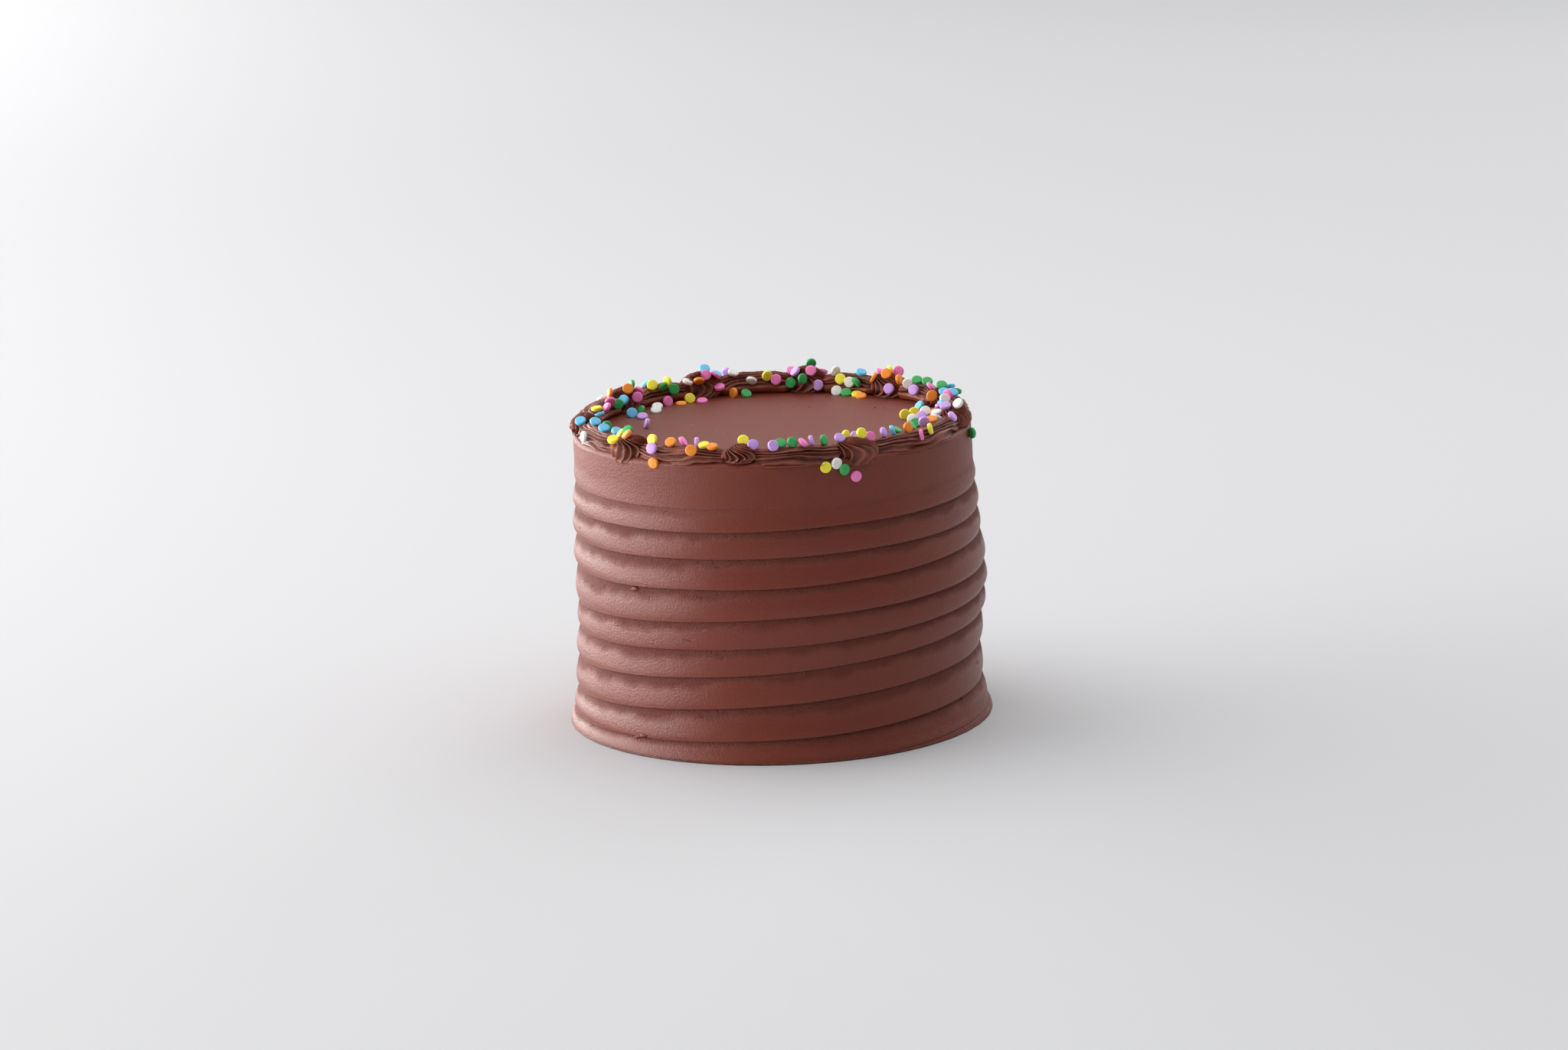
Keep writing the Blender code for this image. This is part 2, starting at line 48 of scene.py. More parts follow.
# Iced body: a stack 155 mm tall, wider at the foot, narrowest at the top, which slopes a little to the back
TOP_HEIGHT = 155.2 * MM
TOP_SLOPE = 0.022
SLOPE_FROM = 135 * MM
SIDE_RADII = (
    (0 * MM, 110.4 * MM),
    (9 * MM, 107.5 * MM),
    (24 * MM, 106.0 * MM),
    (45 * MM, 105.8 * MM),
    (76 * MM, 106.9 * MM),
    (110 * MM, 105.0 * MM),
    (140 * MM, 103.2 * MM),
    (153 * MM, 102.9 * MM),
)
RIM_ROUNDING = 2.8 * MM
BULGE_SHIFT = 2.2 * MM
BULGE_HEIGHT = 82 * MM
BULGE_SPREAD = 32 * MM

# One spatula mark climbs the side as a spiral: its height in mm at the front, right, back and left of each
# turn, the turn where it begins, and the turns where it fades out
SPIRAL_TURNS = (
    (0.0, 5.0, 6.6, 7.2),
    (13.0, 20.0, 19.6, 20.0),
    (31.0, 39.0, 37.6, 37.2),
    (48.0, 56.5, 54.8, 54.2),
    (62.0, 69.0, 67.6, 67.6),
    (77.0, 82.0, 85.6, 87.6),
    (93.0, 98.4, 101.0, 103.8),
    (108.4, 110.6, 115.0, 118.2),
    (122.7, 124.6, 127.6, 131.0),
    (134.0, 137.0, 141.0, 146.0),
)
SPIRAL_START = 0.45
SPIRAL_FADE = (8.72, 9.05)

# Relief of a band between two turns of the mark: its depth, the nose over its lower edge, how it draws in
# below the mark above, and how all that varies round the cake. Waves count turns round it and radians a metre
BAND_DEPTH = 2.6 * MM
BAND_NOSE = 0.1
NOSE_EDGE = 0.92
NOSE_FULLNESS = 1.7
DRAW_IN = 1.6
FRONT_SOFTENING = 0.62
DEPTH_WAVES = ((3, 60, 0.12), (1, 95, 0.16))
WALL_WAVE = (2, 30, 0.35 * MM)
UNMARKED_LEVEL = 0.6
SIDE_NOSE = 0.38
SIDE_ROUNDING = 0.55

# Lip of a band: how far its edge hangs over, over which share of the band, and how it wavers round the cake
LIP_DROP = 0.45 * MM
LIP_REACH = 0.06
LIP_WOBBLE = 0.5 * MM
WOBBLES_ROUND = 13

# Grid of the icing: shares of a band where its rows lie, columns round, rows over the rim, sizes of the
# rings, and the welding of what falls together
BAND_SHARES = (0.0, 0.006, 0.014, 0.026, 0.042, 0.065, 0.1, 0.16, 0.26,
               0.38, 0.49, 0.61, 0.73, 0.84, 0.92, 0.965, 0.99)
COAT_COLUMNS = 480
RIM_STEPS = 5
TOP_RINGS = (0.985, 0.96, 0.93, 0.895, 0.85, 0.79, 0.71, 0.61, 0.5, 0.38, 0.25, 0.12)
COAT_WELD = 0.015 * MM
SHORTEST_EDGE = 0.01 * MM
SMOOTH_ANGLE = math.radians(50)

# Slow unevenness of the icing and the drag marks under each lip
WAVE_SCALE = 26
WAVE_DEPTH = 0.3 * MM
TOP_WAVES = 1.3
DRAG_SCALE = Vector((95, 95, 210))
DRAG_DEPTH = 0.42 * MM
DRAG_SHARES = (0.42, 0.9)

# Piped border. Each rosette's azimuth in degrees, its half length along the rim, half width and height in mm,
# and how far its eye lies off its middle, along and across, as shares of its size
ROSETTES = (
    (-49, 12.8, 9.6, 10.2, 0.4, -0.1),
    (-10, 10.2, 8.8, 9.0, 0.1, -0.2),
    (26, 13.0, 9.6, 9.0, -0.2, -0.1),
    (80, 12.4, 9.4, 12.0, 0.1, 0.1),
    (110, 12.6, 9.2, 11.0, -0.2, -0.2),
    (138, 13.0, 9.4, 12.9, 0.2, -0.2),
    (168, 12.4, 9.4, 13.9, 0.0, -0.1),
    (203, 13.2, 9.6, 14.3, 0.1, -0.5),
    (235, 12.6, 9.2, 13.0, -0.1, -0.2),
    (272, 12.8, 9.4, 11.2, 0.2, 0.0),
)
ROSETTE_RIDGES = 15
ROSETTE_SWIRL = math.radians(280)
SWIRL_TIGHTNESS = 1.45
ROSETTE_GROOVE = 2.4 * MM
RIDGE_WANDER = 0.9
WANDER_SCALE = 0.8
GROOVE_SHARE = 0.85
GROOVE_SWING = 0.5
SWING_SCALE = 1.7
ROSETTE_NOISE_STEP = 5
EYE_EASING = 3
FOOT_EASING = (12, 0.3)
SKIRT_FRONT = (0.1, 1.4)
SURFACE_STEP = 0.02
SMALLEST_CROSS = 1e-12
ROSETTE_PROFILE = ((0.84, 0.0), (1.0, 0.26), (0.88, 0.58), (0.62, 0.82), (0.3, 0.96), (0.0, 1.0))
ROSETTE_COLUMNS = 240
ROSETTE_ROWS = 56
RIDGE_SHARPNESS = 0.7
GARLAND_HALF_WIDTH = 7.0 * MM
GARLAND_HEIGHT = 9.0 * MM
GARLAND_FLATTENING = 2.0 * MM
GARLAND_VARIETY = 0.05
VARIETY_STEP = 2.4
GARLAND_GROOVE = 0.36
GARLAND_STRANDS = (-66, 200)
STRAND_STEP = 26
STRAND_FADE = 20
STRAND_WANDERS = ((1.1, 24, 110, 3.7), (0.3, 7, 50, 1.9))
STRAND_SHARE = 0.85
STRAND_SWING = 0.6
STRAND_SWING_SCALES = (0.8, 16)
GARLAND_NOISE_START = 20
FINE_STRANDS = (0.2, 2, 0.4)
GARLAND_FOOT = -48
GARLAND_TAPER = 0.92
GARLAND_COLUMNS = 120
GARLAND_ROWS = 110
UNDERSIDE_COLUMNS = 8
PIPING_WELD = 0.005 * MM
GARLAND_TUCK = 5 * MM
GARLAND_HANG = 2.5 * MM
GARLAND_FLARE = 0.02
SKIRT_HANGS = {0: 4.0, 2: 4.5}
BORDER_RADIUS = 97.2 * MM
GARLAND_INSET = 0.9 * MM
GARLAND_SIDE_LEVEL = 0.4
ROSETTE_END = 0.2
GARLAND_SAG = 1.5 * MM
CLEARANCE = 0.35 * MM

# Sugar confetti: flat round pieces with rounded edges
CONFETTI_RADIUS = 2.95 * MM
CONFETTI_THICKNESS = 2.0 * MM
CONFETTI_EDGE = 0.7 * MM
EDGE_STEPS = 4
CONFETTI_SIDES = 24
CONFETTI_SINK = 0.95 * MM
EDGE_SINK = 0.55 * MM
CONFETTI_SEED = 58
CONFETTI_SPACING = 4.7 * MM
CONFETTI_TRIES = 900

# Confetti on the side: azimuth, height in mm, angle of its face off the wall, colour
SIDE_CONFETTI = (
    (-36, 155.6, 4, "orange"), (18.2, 155.2, 14, "white"), (15, 153.6, 4, "yellow"),
    (20.4, 151.6, 20, "green"),
    (24, 147.2, 4, "pink"), (79, 151.6, 40, "green"),
)

# Confetti along the front: azimuth, place over the border, yaw and pitch of its face, colour
FRONT_CONFETTI = (
    (-69, 8, 0, 8, "white"), (-52, 45, 40, 60, "yellow"), (-54.5, 96, -26, 40, "yellow"),
    (-48, 70, -28, 50, "orange"), (-52, 104, 10, 40, "green"), (-39, 84, 0, 14, "yellow"),
    (-36.5, 30, 4, 12, "lilac"), (-32, 86, 10, 50, "orange"), (-29, 116, 105, 32, "pink"),
    (-23.6, 36, 20, 20, "orange"), (-24, 112, 106, 4, "lilac"), (-21.2, 96, 0, 74, "yellow"),
    (-18.4, 84, 8, 74, "orange"), (-9, 104, 0, 8, "yellow"), (-5.9, 92, 10, 14, "lilac"),
    (0.2, 66, 30, 24, "lilac"), (2.4, 96, 10, 50, "green"), (6, 92, 30, 24, "green"),
    (9.2, 84, 74, 46, "pink"),
    (12, 100, 76, 14, "lilac"), (15.8, 92, 46, 16, "green"), (21.4, 104, 10, 44, "lilac"),
    (24.5, 124, 30, 4, "yellow"), (28, 88, 10, 16, "yellow"), (28.4, 134, 20, 30, "lilac"),
    (31.8, 104, 0, 20, "pink"), (37.5, 112, 34, 20, "lilac"), (41, 112, 50, 20, "blue"),
    (44.2, 134, 30, 60, "green"), (46, 92, 0, 14, "orange"), (49.5, 112, 20, 40, "green"),
    (52, 42, 30, 14, "yellow"), (47, 26, 46, 8, "pink"),
)

# Confetti on the rest of the border, heaped with its faces to the front: azimuth, place over it, lean off
# that, spin of the lean, colour
HEAP_FRONT = Vector((0, -0.9, 0.44))
HEAP_SHARE = 0.58
HEAP_CONFETTI = (
    (-82.6, 62, 10, 0, "blue"), (-98, 122, 38, 67, "yellow"), (-86, 128, 66, 82, "blue"),
    (-75, 108, 8, 0, "blue"),
    (-67, 124, 38, 268, "green"), (-64, 96, 8, 0, "blue"), (-59, 116, 10, 0, "blue"),
    (-105, 150, 66, 287, "pink"),
    (-111, 138, 60, 40, "pink"), (-114.5, 158, 20, 0, "green"), (-120, 138, 38, 310, "blue"),
    (-124, 120, 12, 0, "orange"), (-128.5, 102, 66, 132, "green"), (-129.5, 128, 70, 0, "pink"),
    (-126, 148, 12, 0, "pink"), (-137.5, 120, 20, 0, "yellow"), (-141, 140, 75, 80, "green"),
    (-144, 118, 66, 337, "yellow"), (-145, 158, 12, 0, "green"), (-151.5, 122, 38, 193, "white"),
    (-154.5, 138, 75, 40, "orange"), (-157.5, 126, 14, 0, "pink"), (-161.5, 120, 66, 182, "pink"),
    (-158.5, 96, 10, 0, "blue"), (-162.5, 94, 20, 0, "blue"), (-162, 154, 38, 235, "pink"),
    (-168, 108, 20, 0, "white"), (-173.5, 160, 66, 27, "white"), (-179, 145, 38, 76, "yellow"),
    (178, 158, 12, 0, "pink"), (173, 96, 14, 0, "pink"), (171.5, 122, 38, 277, "lilac"),
    (166.5, 98, 66, 232, "green"), (166, 124, 14, 0, "pink"), (168.5, 148, 38, 118, "green"),
    (173, 150, 10, 0, "green"), (163.4, 158, 14, 0, "lilac"), (158, 112, 66, 77, "white"),
    (155.5, 150, 12, 0, "yellow"), (152, 162, 12, 0, "white"), (149, 160, 70, 0, "green"),
    (149.2, 102, 20, 0, "blue"), (143, 122, 66, 282, "orange"), (141.5, 98, 38, 1, "pink"),
    (137.5, 116, 12, 0, "orange"), (134.5, 154, 10, 0, "lilac"), (135, 88, 38, 202, "pink"),
    (132.6, 112, 66, 127, "orange"), (125, 104, 10, 0, "green"), (126.5, 138, 38, 43, "white"),
    (122.5, 158, 12, 0, "lilac"), (120.6, 92, 8, 0, "green"), (113, 116, 66, 332, "pink"),
    (109.5, 94, 10, 0, "green"), (105.5, 102, 14, 0, "blue"), (107, 140, 38, 85, "orange"),
    (99.4, 90, 12, 0, "blue"), (97, 114, 66, 177, "pink"), (94, 134, 38, 286, "white"),
    (91.5, 158, 40, 0, "blue"),
    (76.6, 112, 14, 0, "lilac"), (77, 74, 38, 127, "white"), (82.5, 136, 66, 22, "lilac"),
    (77, 144, 30, 0, "white"), (68.8, 58, 38, 328, "lilac"), (62, 120, 12, 0, "orange"),
    (66.4, 122, 50, 0, "white"), (57, 118, 66, 227, "lilac"),
)

# Confetti on the top beside the border: azimuth, radius in mm, yaw from the front and pitch of its face,
# colour
TOP_CONFETTI = (
    (-133.5, 84, 0, 66, "white"), (-127, 77, 0, 62, "white"), (-121.5, 81.5, -70, 30, "green"),
    (-114, 75, 0, 66, "lilac"), (-116, 82.5, 10, 30, "blue"), (-94, 66, -80, 20, "lilac"),
    (-144, 82, 0, 82, "orange"), (-149, 84.5, 20, 25, "yellow"), (-152.5, 80, 0, 74, "pink"),
    (-140, 86, 40, 10, "pink"), (-171, 84, 30, 50, "green"), (-166.5, 86, -52, 10, "orange"),
    (156, 87.5, 0, 30, "white"), (152, 86.8, 0, 55, "green"), (147.8, 87, 0, 70, "yellow"),
    (144.5, 83.5, 0, 70, "orange"), (110.5, 84, -60, 40, "blue"), (99.5, 82.5, 0, 40, "white"),
    (89, 79, -20, 30, "lilac"), (97, 76, 10, 20, "yellow"), (94, 70.5, 20, 8, "yellow"),
    (83, 74.5, -20, 20, "white"), (76, 77.5, 0, 40, "green"), (94.8, 86.6, 30, 45, "orange"),
)

# Confetti behind, on the outer side that the photo hides: from azimuth, to azimuth, pieces, then the least,
# most and likeliest place over the border and lean, in degrees
HIDDEN_STRETCH = (100, 260, 9)
HIDDEN_PLACES = (18, 88, 60)
HIDDEN_LEANS = (0, 95, 18)
COLOUR_SEED = 7

# Small marks in the icing: surface, thickness in mm, then the points along it, each an azimuth with a height
# on the side or a radius on the top, in mm
FLECKS = (
    ("side", 2.6, ((-46.2, 86.6), (-44.8, 87.6), (-43.4, 88.0))),
    ("side", 1.0, ((-69.4, 69.6), (-67.8, 69.6))),
    ("side", 1.0, ((-59.8, 66.8), (-58.2, 67.0))),
    ("side", 0.9, ((-54.2, 65.6), (-51.6, 65.8))),
    ("side", 0.7, ((-17.2, 103.8), (-15.3, 104.2), (-13.2, 105.2))),
    ("side", 0.4, ((-79.2, 71.8), (-68.1, 72.3), (-60.2, 71.6), (-54.0, 70.9))),
    ("side", 0.6, ((-61.7, 131.9), (-58.6, 132.2))),
    ("side", 0.5, ((-29.3, 64.1), (-27.4, 64.3), (-25.7, 63.4))),
    ("side", 0.25, ((55.4, 128.6), (61.1, 129.2), (67.7, 129.8), (72.9, 130.9))),
    ("side", 0.8, ((6.0, 48.3), (6.2, 46.8), (6.4, 45.4))),
    ("side", 0.5, ((-24.0, 118.6), (-22.8, 117.6))),
    ("side", 0.4, ((58.0, 118.5), (61.0, 119.6), (64.0, 119.4))),
    ("side", 2.6, ((-45.6, 8.0), (-43.0, 9.6), (-40.2, 10.6))),
    ("top", 0.35, ((-117.0, 54.1), (-105.6, 45.3), (-89.2, 36.3), (-68.0, 30.4), (-43.6, 32.8))),
    ("top", 1.1, ((125.6, 66.6), (124.6, 67.8))),
    ("top", 0.6, ((122.0, 70.2), (120.8, 71.0))),
    ("top", 0.6, ((166.6, 49.2), (165.0, 50.0))),
    ("top", 0.7, ((163.5, 53.4), (162.0, 52.4))),
    ("top", 0.5, ((157.2, 50.5), (155.4, 51.0))),
    ("top", 0.5, ((173.6, 47.3), (171.8, 48.0))),
)

# Dark marks in the same form, coloured with the piping's painted groove shade. The last is the edge of icing
# along the foot
PITS = (
    ("side", 0.8, ((-74.0, 110.4), (-73.4, 110.0))),
    ("side", 0.6, ((75.8, 30.2), (75.0, 28.6))),
    ("side", 0.8, ((61.9, 17.2), (61.0, 15.4))),
    ("side", 0.5, ((-19.0, 103.0), (-16.6, 103.0))),
    ("side", 1.3, ((-100.0, 0.5), (-60.0, 0.5), (-30.0, 0.4), (0.0, 0.4), (30.0, 0.4), (60.0, 0.5),
                   (100.0, 0.5))),
)
FLECK_STEPS = 30
FLECK_SIDES = 8
FLECK_TIP = 0.05
FLECK_FULLNESS = 0.6

# Colours as 0 to 255 screen values
CONFETTI_COLOURS = {
    "pink": (250, 128, 196),
    "lilac": (206, 160, 236),
    "yellow": (252, 238, 60),
    "orange": (255, 146, 36),
    "green": (48, 168, 84),
    "blue": (104, 198, 242),
    "white": (244, 242, 238),
}
ICING_COLOUR = (118, 43, 19)
# Painted shade: the darker icing colour under each lip, where the lip above shades the band
ICING_LIP_SHADE_COLOUR = (98, 32, 12)
# Painted shade: a dark line in the crease under each lip, over these shares of the band
CREASE_SHADE_COLOUR = (58, 18, 10)
CREASE_SHADE_SHARES = (0.9, 0.985)
# Painted shade in the grooves of the piping and painted highlight on its crests
GROOVE_SHADE_COLOUR = (84, 32, 20)
CREST_HIGHLIGHT_COLOUR = (166, 88, 64)
FLOOR_COLOUR = (209, 209, 211)
FLOOR_FAR_COLOUR = (194, 194, 196)
FLOOR_FADE = (0.2, 2.0)
DYE_FADING = 14

# Grain of the materials, in cells a metre, the unit of their bumps, and where the icing is torn or coarse
PATCH_GRAIN = 55
SPECKLE_GRAIN = 860
STREAK_GRAIN = (60, 60, 900)
PIT_GRAIN = (260, 260, 420)
TEAR_GRAIN = 1700
RIDGE_GRAIN = 240
DYE_GRAIN = 420
SUGAR_GRAIN = 1900
BUMP_UNIT = 1 * MM
# TORN_SHARES also sets where the icing colour is darkened as painted shade under each lip
TORN_SHARES = (0.5, 0.82)
COARSE_ASIDE = (0.03, 0.085)
ICING_SPECULAR = 0.56
FLOOR_SPECULAR = 0.1

# Camera: distance from the middle of the base, angle above it, roll, focal length in pixels, how far it sees,
# and where the middle of the base shows in the picture
PICTURE_WIDTH = 2048
PICTURE_HEIGHT = 1372
CAMERA_DISTANCE = 3.2613
CAMERA_ELEVATION = math.radians(14.8)
CAMERA_ROLL = math.radians(2)
CAMERA_FOCUS = 8000
CAMERA_REACH = 100
SENSOR_WIDTH = 36
BASE_SHOWS_AT = (1021, 927.5)

# Studio: place, width, height and strength of each soft light, in metres and watts
SOFT_LIGHTS = (
    ("window_left", (-2.6, 0.9, 0.46), 6.2, 1.5, 270, (1.0, 0.99, 0.98)),
    ("fill_right", (1.5, 2.2, 1.1), 1.2, 1.0, 9, (0.97, 0.985, 1.0)),
    ("top_soft", (0.3, 0.2, 3.0), 6.0, 6.0, 104, (1.0, 1.0, 1.0)),
)
WORLD_FRONT = 0.21
WORLD_BACK = 0.52
WORLD_FADE = (-0.4, 0.9)
FLOOR_SIZE = 14
FLOOR_DROP = 0.2 * MM


class Signal:
    """A socket of a material's nodes. Arithmetic on it adds Math nodes, and add() adds any other node."""

    def __init__(self, tree, socket=None):
        self.tree = tree
        self.socket = socket

    def add(self, kind, settings=None, inputs=None, output=0):
        node = self.tree.nodes.new(kind)
        for name, setting in (settings or {}).items():
            setattr(node, name, setting)
        for name, value in (inputs or {}).items():
            self.join(node.inputs[name], value)
        return Signal(self.tree, node.outputs[output])

    def join(self, target, value):
        if isinstance(value, Signal):
            self.tree.links.new(value.socket, target)
        else:
            target.default_value = value

    def math(self, operation, *values):
        return self.add("ShaderNodeMath", {"operation": operation}, dict(enumerate(values)))

    def __add__(self, other):
        return self.math("ADD", self, other)

    __radd__ = __add__

    def __sub__(self, other):
        return self.math("SUBTRACT", self, other)

    def __rsub__(self, other):
        return self.math("SUBTRACT", other, self)

    def __mul__(self, other):
        return self.math("MULTIPLY", self, other)

    __rmul__ = __mul__

    def between(self, low, high):
        """0 below low, 1 above high, smooth between."""
        inputs = {"Value": self, "From Min": low, "From Max": high}
        return self.add("ShaderNodeMapRange", {"interpolation_type": "SMOOTHSTEP"}, inputs)

    def mix(self, low, high):
        """A colour mixed from two by this share."""
        node = self.tree.nodes.new("ShaderNodeMix")
        node.data_type = "RGBA"
        sockets = [socket for socket in node.inputs if socket.enabled]
        for socket, value in zip(sockets, (self, low, high)):
            self.join(socket, value)
        return Signal(self.tree, next(socket for socket in node.outputs if socket.enabled))

    def grain(self, place, scale, detail=2.0, roughness=0.5):
        inputs = {"Vector": place, "Scale": scale, "Detail": detail, "Roughness": roughness}
        return self.add("ShaderNodeTexNoise", None, inputs)

    def stretched(self, place, scale):
        return self.add("ShaderNodeMapping", None, {"Vector": place, "Scale": scale})

    def attribute(self, name):
        return self.add("ShaderNodeAttribute", {"attribute_name": name}, output="Fac")


def linear(tone):
    """A screen colour, 0 to 255 a channel, as the linear values that a shader takes."""
    channels = []
    for value in tone:
        share = value / 255
        channels.append(share / 12.92 if share <= 0.04045 else ((share + 0.055) / 1.055) ** 2.4)
    return (*channels, 1.0)


def new_material(name):
    material = bpy.data.materials.new(name)
    material.use_nodes = True
    shader = material.node_tree.nodes["Principled BSDF"]
    return material, shader, Signal(material.node_tree)


def bumped(tree, shader, height):
    """Feeds a height, counted in the unit of bumps, to the shader's normal."""
    inputs = {"Height": height, "Distance": BUMP_UNIT, "Strength": 1.0}
    bump = tree.add("ShaderNodeBump", None, inputs, output="Normal")
    tree.join(shader.inputs["Normal"], bump)


def spread_icing():
    """Satin where the spatula pressed the icing smooth, matt and torn in the drag under each lip, where its
    colour is darkened as painted shade, with a painted shade line in the crease.
    """
    material, shader, tree = new_material("spread_icing")
    place = tree.add("ShaderNodeTexCoord", output="Object")
    share, strength = tree.attribute("band_share"), tree.attribute("band_strength")
    patches = tree.grain(place, PATCH_GRAIN, 3.0)
    torn = (share + (patches - 0.5) * 0.6).between(*TORN_SHARES) * strength
    speckle = tree.grain(place, SPECKLE_GRAIN, 3.0, 0.75)
    streaks = tree.grain(tree.stretched(place, STREAK_GRAIN), 1.0, 3.0, 0.6)
    pits = tree.grain(tree.stretched(place, PIT_GRAIN), 1.0, 3.0, 0.65).between(0.56, 0.7)
    # Painted shade: the icing colour is darkened under each lip, with a little random grain mixed in
    lip_shade_and_grain = torn * 0.8 + speckle.between(0.4, 0.7) * 0.2
    colour = lip_shade_and_grain.mix(linear(ICING_COLOUR), linear(ICING_LIP_SHADE_COLOUR))
    aside = tree.add("ShaderNodeSeparateXYZ", None, {"Vector": place}, output="X")
    coarse = 0.5 + tree.math("ABSOLUTE", aside).between(*COARSE_ASIDE) * 0.7
    # Painted shade in the crease under each lip
    crease_shade = share.between(*CREASE_SHADE_SHARES) * strength
    tree.join(shader.inputs["Base Color"], crease_shade.mix(colour, linear(CREASE_SHADE_COLOUR)))
    tree.join(shader.inputs["Roughness"], 0.5 - strength * 0.14 + torn * 0.38 + (speckle - 0.5) * 0.15)
    height = speckle * coarse * (0.4 + torn * 0.5) + streaks * (0.06 + torn * 0.2) + pits * torn * -0.3
    bumped(tree, shader, height)
    shader.inputs["Specular IOR Level"].default_value = ICING_SPECULAR
    return material


def piped_icing():
    """The same buttercream, darker and glossier, with painted shade in its grooves and painted highlights on
    its crests, and fine tears along the ridges that the nozzle left.
    """
    material, shader, tree = new_material("piped_icing")
    place = tree.add("ShaderNodeTexCoord", output="Object")
    ridge = tree.attribute("ridge")
    fine = tree.grain(place, TEAR_GRAIN, 2.0, 0.6)
    patches = tree.grain(place, RIDGE_GRAIN, 3.0, 0.6)
    # Painted highlight on the crests and painted shade in the grooves, with random patches mixed in
    crest_highlight_and_patches = ridge.between(0.15, 0.95) * 0.75 + patches.between(0.4, 0.75) * 0.25
    tree.join(shader.inputs["Base Color"], crest_highlight_and_patches.mix(linear(GROOVE_SHADE_COLOUR), linear(CREST_HIGHLIGHT_COLOUR)))
    tree.join(shader.inputs["Roughness"], 0.4 + patches * 0.14)
    bumped(tree, shader, fine * 0.05 + patches * 0.22)
    return material


def sugar_shell(name, tone):
    """Pressed sugar: matt, faintly pitted, its dye a little uneven."""
    material, shader, tree = new_material(name)
    place = tree.add("ShaderNodeTexCoord", output="Object")
    dye = tree.grain(place, DYE_GRAIN, 3.0, 0.6)
    pits = tree.grain(place, SUGAR_GRAIN, 2.0, 0.6)
    pale = tuple(min(255, value + DYE_FADING) for value in tone)
    tree.join(shader.inputs["Base Color"], dye.between(0.35, 0.7).mix(linear(tone), linear(pale)))
    tree.join(shader.inputs["Roughness"], 0.42 + dye * 0.14)
    bumped(tree, shader, dye * 0.08 + pits * 0.04)
    return material


def plain_floor():
    material, shader, tree = new_material("studio_floor")
    place = tree.add("ShaderNodeTexCoord", output="Object")
    depth = tree.add("ShaderNodeSeparateXYZ", None, {"Vector": place}, output="Y")
    colour = depth.between(*FLOOR_FADE).mix(linear(FLOOR_COLOUR), linear(FLOOR_FAR_COLOUR))
    tree.join(shader.inputs["Base Color"], colour)
    tree.join(shader.inputs["Roughness"], 0.6 + tree.grain(place, 3.0) * 0.06)
    shader.inputs["Specular IOR Level"].default_value = FLOOR_SPECULAR
    return material


def blend(low, high, share):
    return low + (high - low) * share


def smooth_step(value):
    value = min(max(value, 0.0), 1.0)
    return value * value * (3 - 2 * value)


def polar(azimuth, radius, height):
    return Vector((radius * math.sin(azimuth), -radius * math.cos(azimuth), height))


def curve_through(values, place):
    """A smooth curve through evenly spaced values, read at a fractional place."""
    last = len(values) - 1
    index = min(max(int(place), 0), last - 1)
    share = min(max(place - index, 0.0), 1.0)
    before, start = values[max(index - 1, 0)], values[index]
    end, after = values[index + 1], values[min(index + 2, last)]
    leave, arrive = (end - before) / 2, (after - start) / 2
    return (start + leave * share + (3 * (end - start) - 2 * leave - arrive) * share ** 2
            + (2 * (start - end) + leave + arrive) * share ** 3)


SPIRAL_QUARTERS = [height * MM for heights in SPIRAL_TURNS for height in heights]
SPIRAL_QUARTERS.append(TOP_HEIGHT - RIM_ROUNDING)
BANDS = len(SPIRAL_TURNS) + 1


def mark_height(turn):
    """Height of the spatula mark after so many turns, which starts at the base and ends at the rim."""
    return curve_through(SPIRAL_QUARTERS, turn * 4)


def lip_height(turn):
    """Height of the spatula mark where it wavers a little."""
    wobble = LIP_WOBBLE * noise.noise(Vector((turn * WOBBLES_ROUND, 0.5, 0.5)))
    return mark_height(turn) + wobble * mark_strength(turn)


def mark_strength(turn):
    begin = smooth_step(turn / SPIRAL_START)
    fade_from, fade_to = SPIRAL_FADE
    return begin * (1 - smooth_step((turn - fade_from) / (fade_to - fade_from)))


def side_radius(height):
    for (low, low_radius), (high, high_radius) in zip(SIDE_RADII, SIDE_RADII[1:]):
        if height <= high:
            return blend(low_radius, high_radius, smooth_step((height - low) / (high - low)))
    return SIDE_RADII[-1][1]


def top_height(point):
    """Height of the sloping top above or below a point."""
    return TOP_HEIGHT - TOP_SLOPE * point.y


def follow_slope(azimuth, height):
    """Heights near the rim follow the slope of the top."""
    share = smooth_step((height - SLOPE_FROM) / (TOP_HEIGHT - SLOPE_FROM))
    return height + TOP_SLOPE * SIDE_RADII[-1][1] * math.cos(azimuth) * share


def bulge_shift(height):
    return BULGE_SHIFT * math.exp(-((height - BULGE_HEIGHT) / BULGE_SPREAD) ** 2)


def band_relief(share, low_strength, high_strength):
    """Relief of a band, 0 to 1: a rounded nose over its lower mark, drawn in below the mark above it."""
    if share < BAND_NOSE:
        nose = 1 - (1 - NOSE_EDGE) * ((BAND_NOSE - share) / BAND_NOSE) ** NOSE_FULLNESS
    else:
        nose = 1 - ((share - BAND_NOSE) / (1 - BAND_NOSE)) ** DRAW_IN
    return blend(UNMARKED_LEVEL, nose, blend(low_strength, high_strength, share))


def side_rounding(azimuth, share):
    """How far the lower edge of a band is rounded off at the cake's left and right, of a relief of 1."""
    return SIDE_ROUNDING * math.sin(azimuth) ** 8 * max(1 - share / SIDE_NOSE, 0) ** 2


def band_depth(azimuth, height):
    softer = FRONT_SOFTENING * max(math.cos(azimuth), 0) ** 2
    waves = sum(share * math.sin(azimuth * around + height * up) for around, up, share in DEPTH_WAVES)
    return BAND_DEPTH * (1 - softer + waves)


def wall_point(azimuth, height, relief):
    around, up, swing = WALL_WAVE
    radius = side_radius(height) + band_depth(azimuth, height) * relief
    radius += swing * math.sin(azimuth * around + height * up)
    point = polar(azimuth, radius, height)
    point.x += bulge_shift(height)
    return point


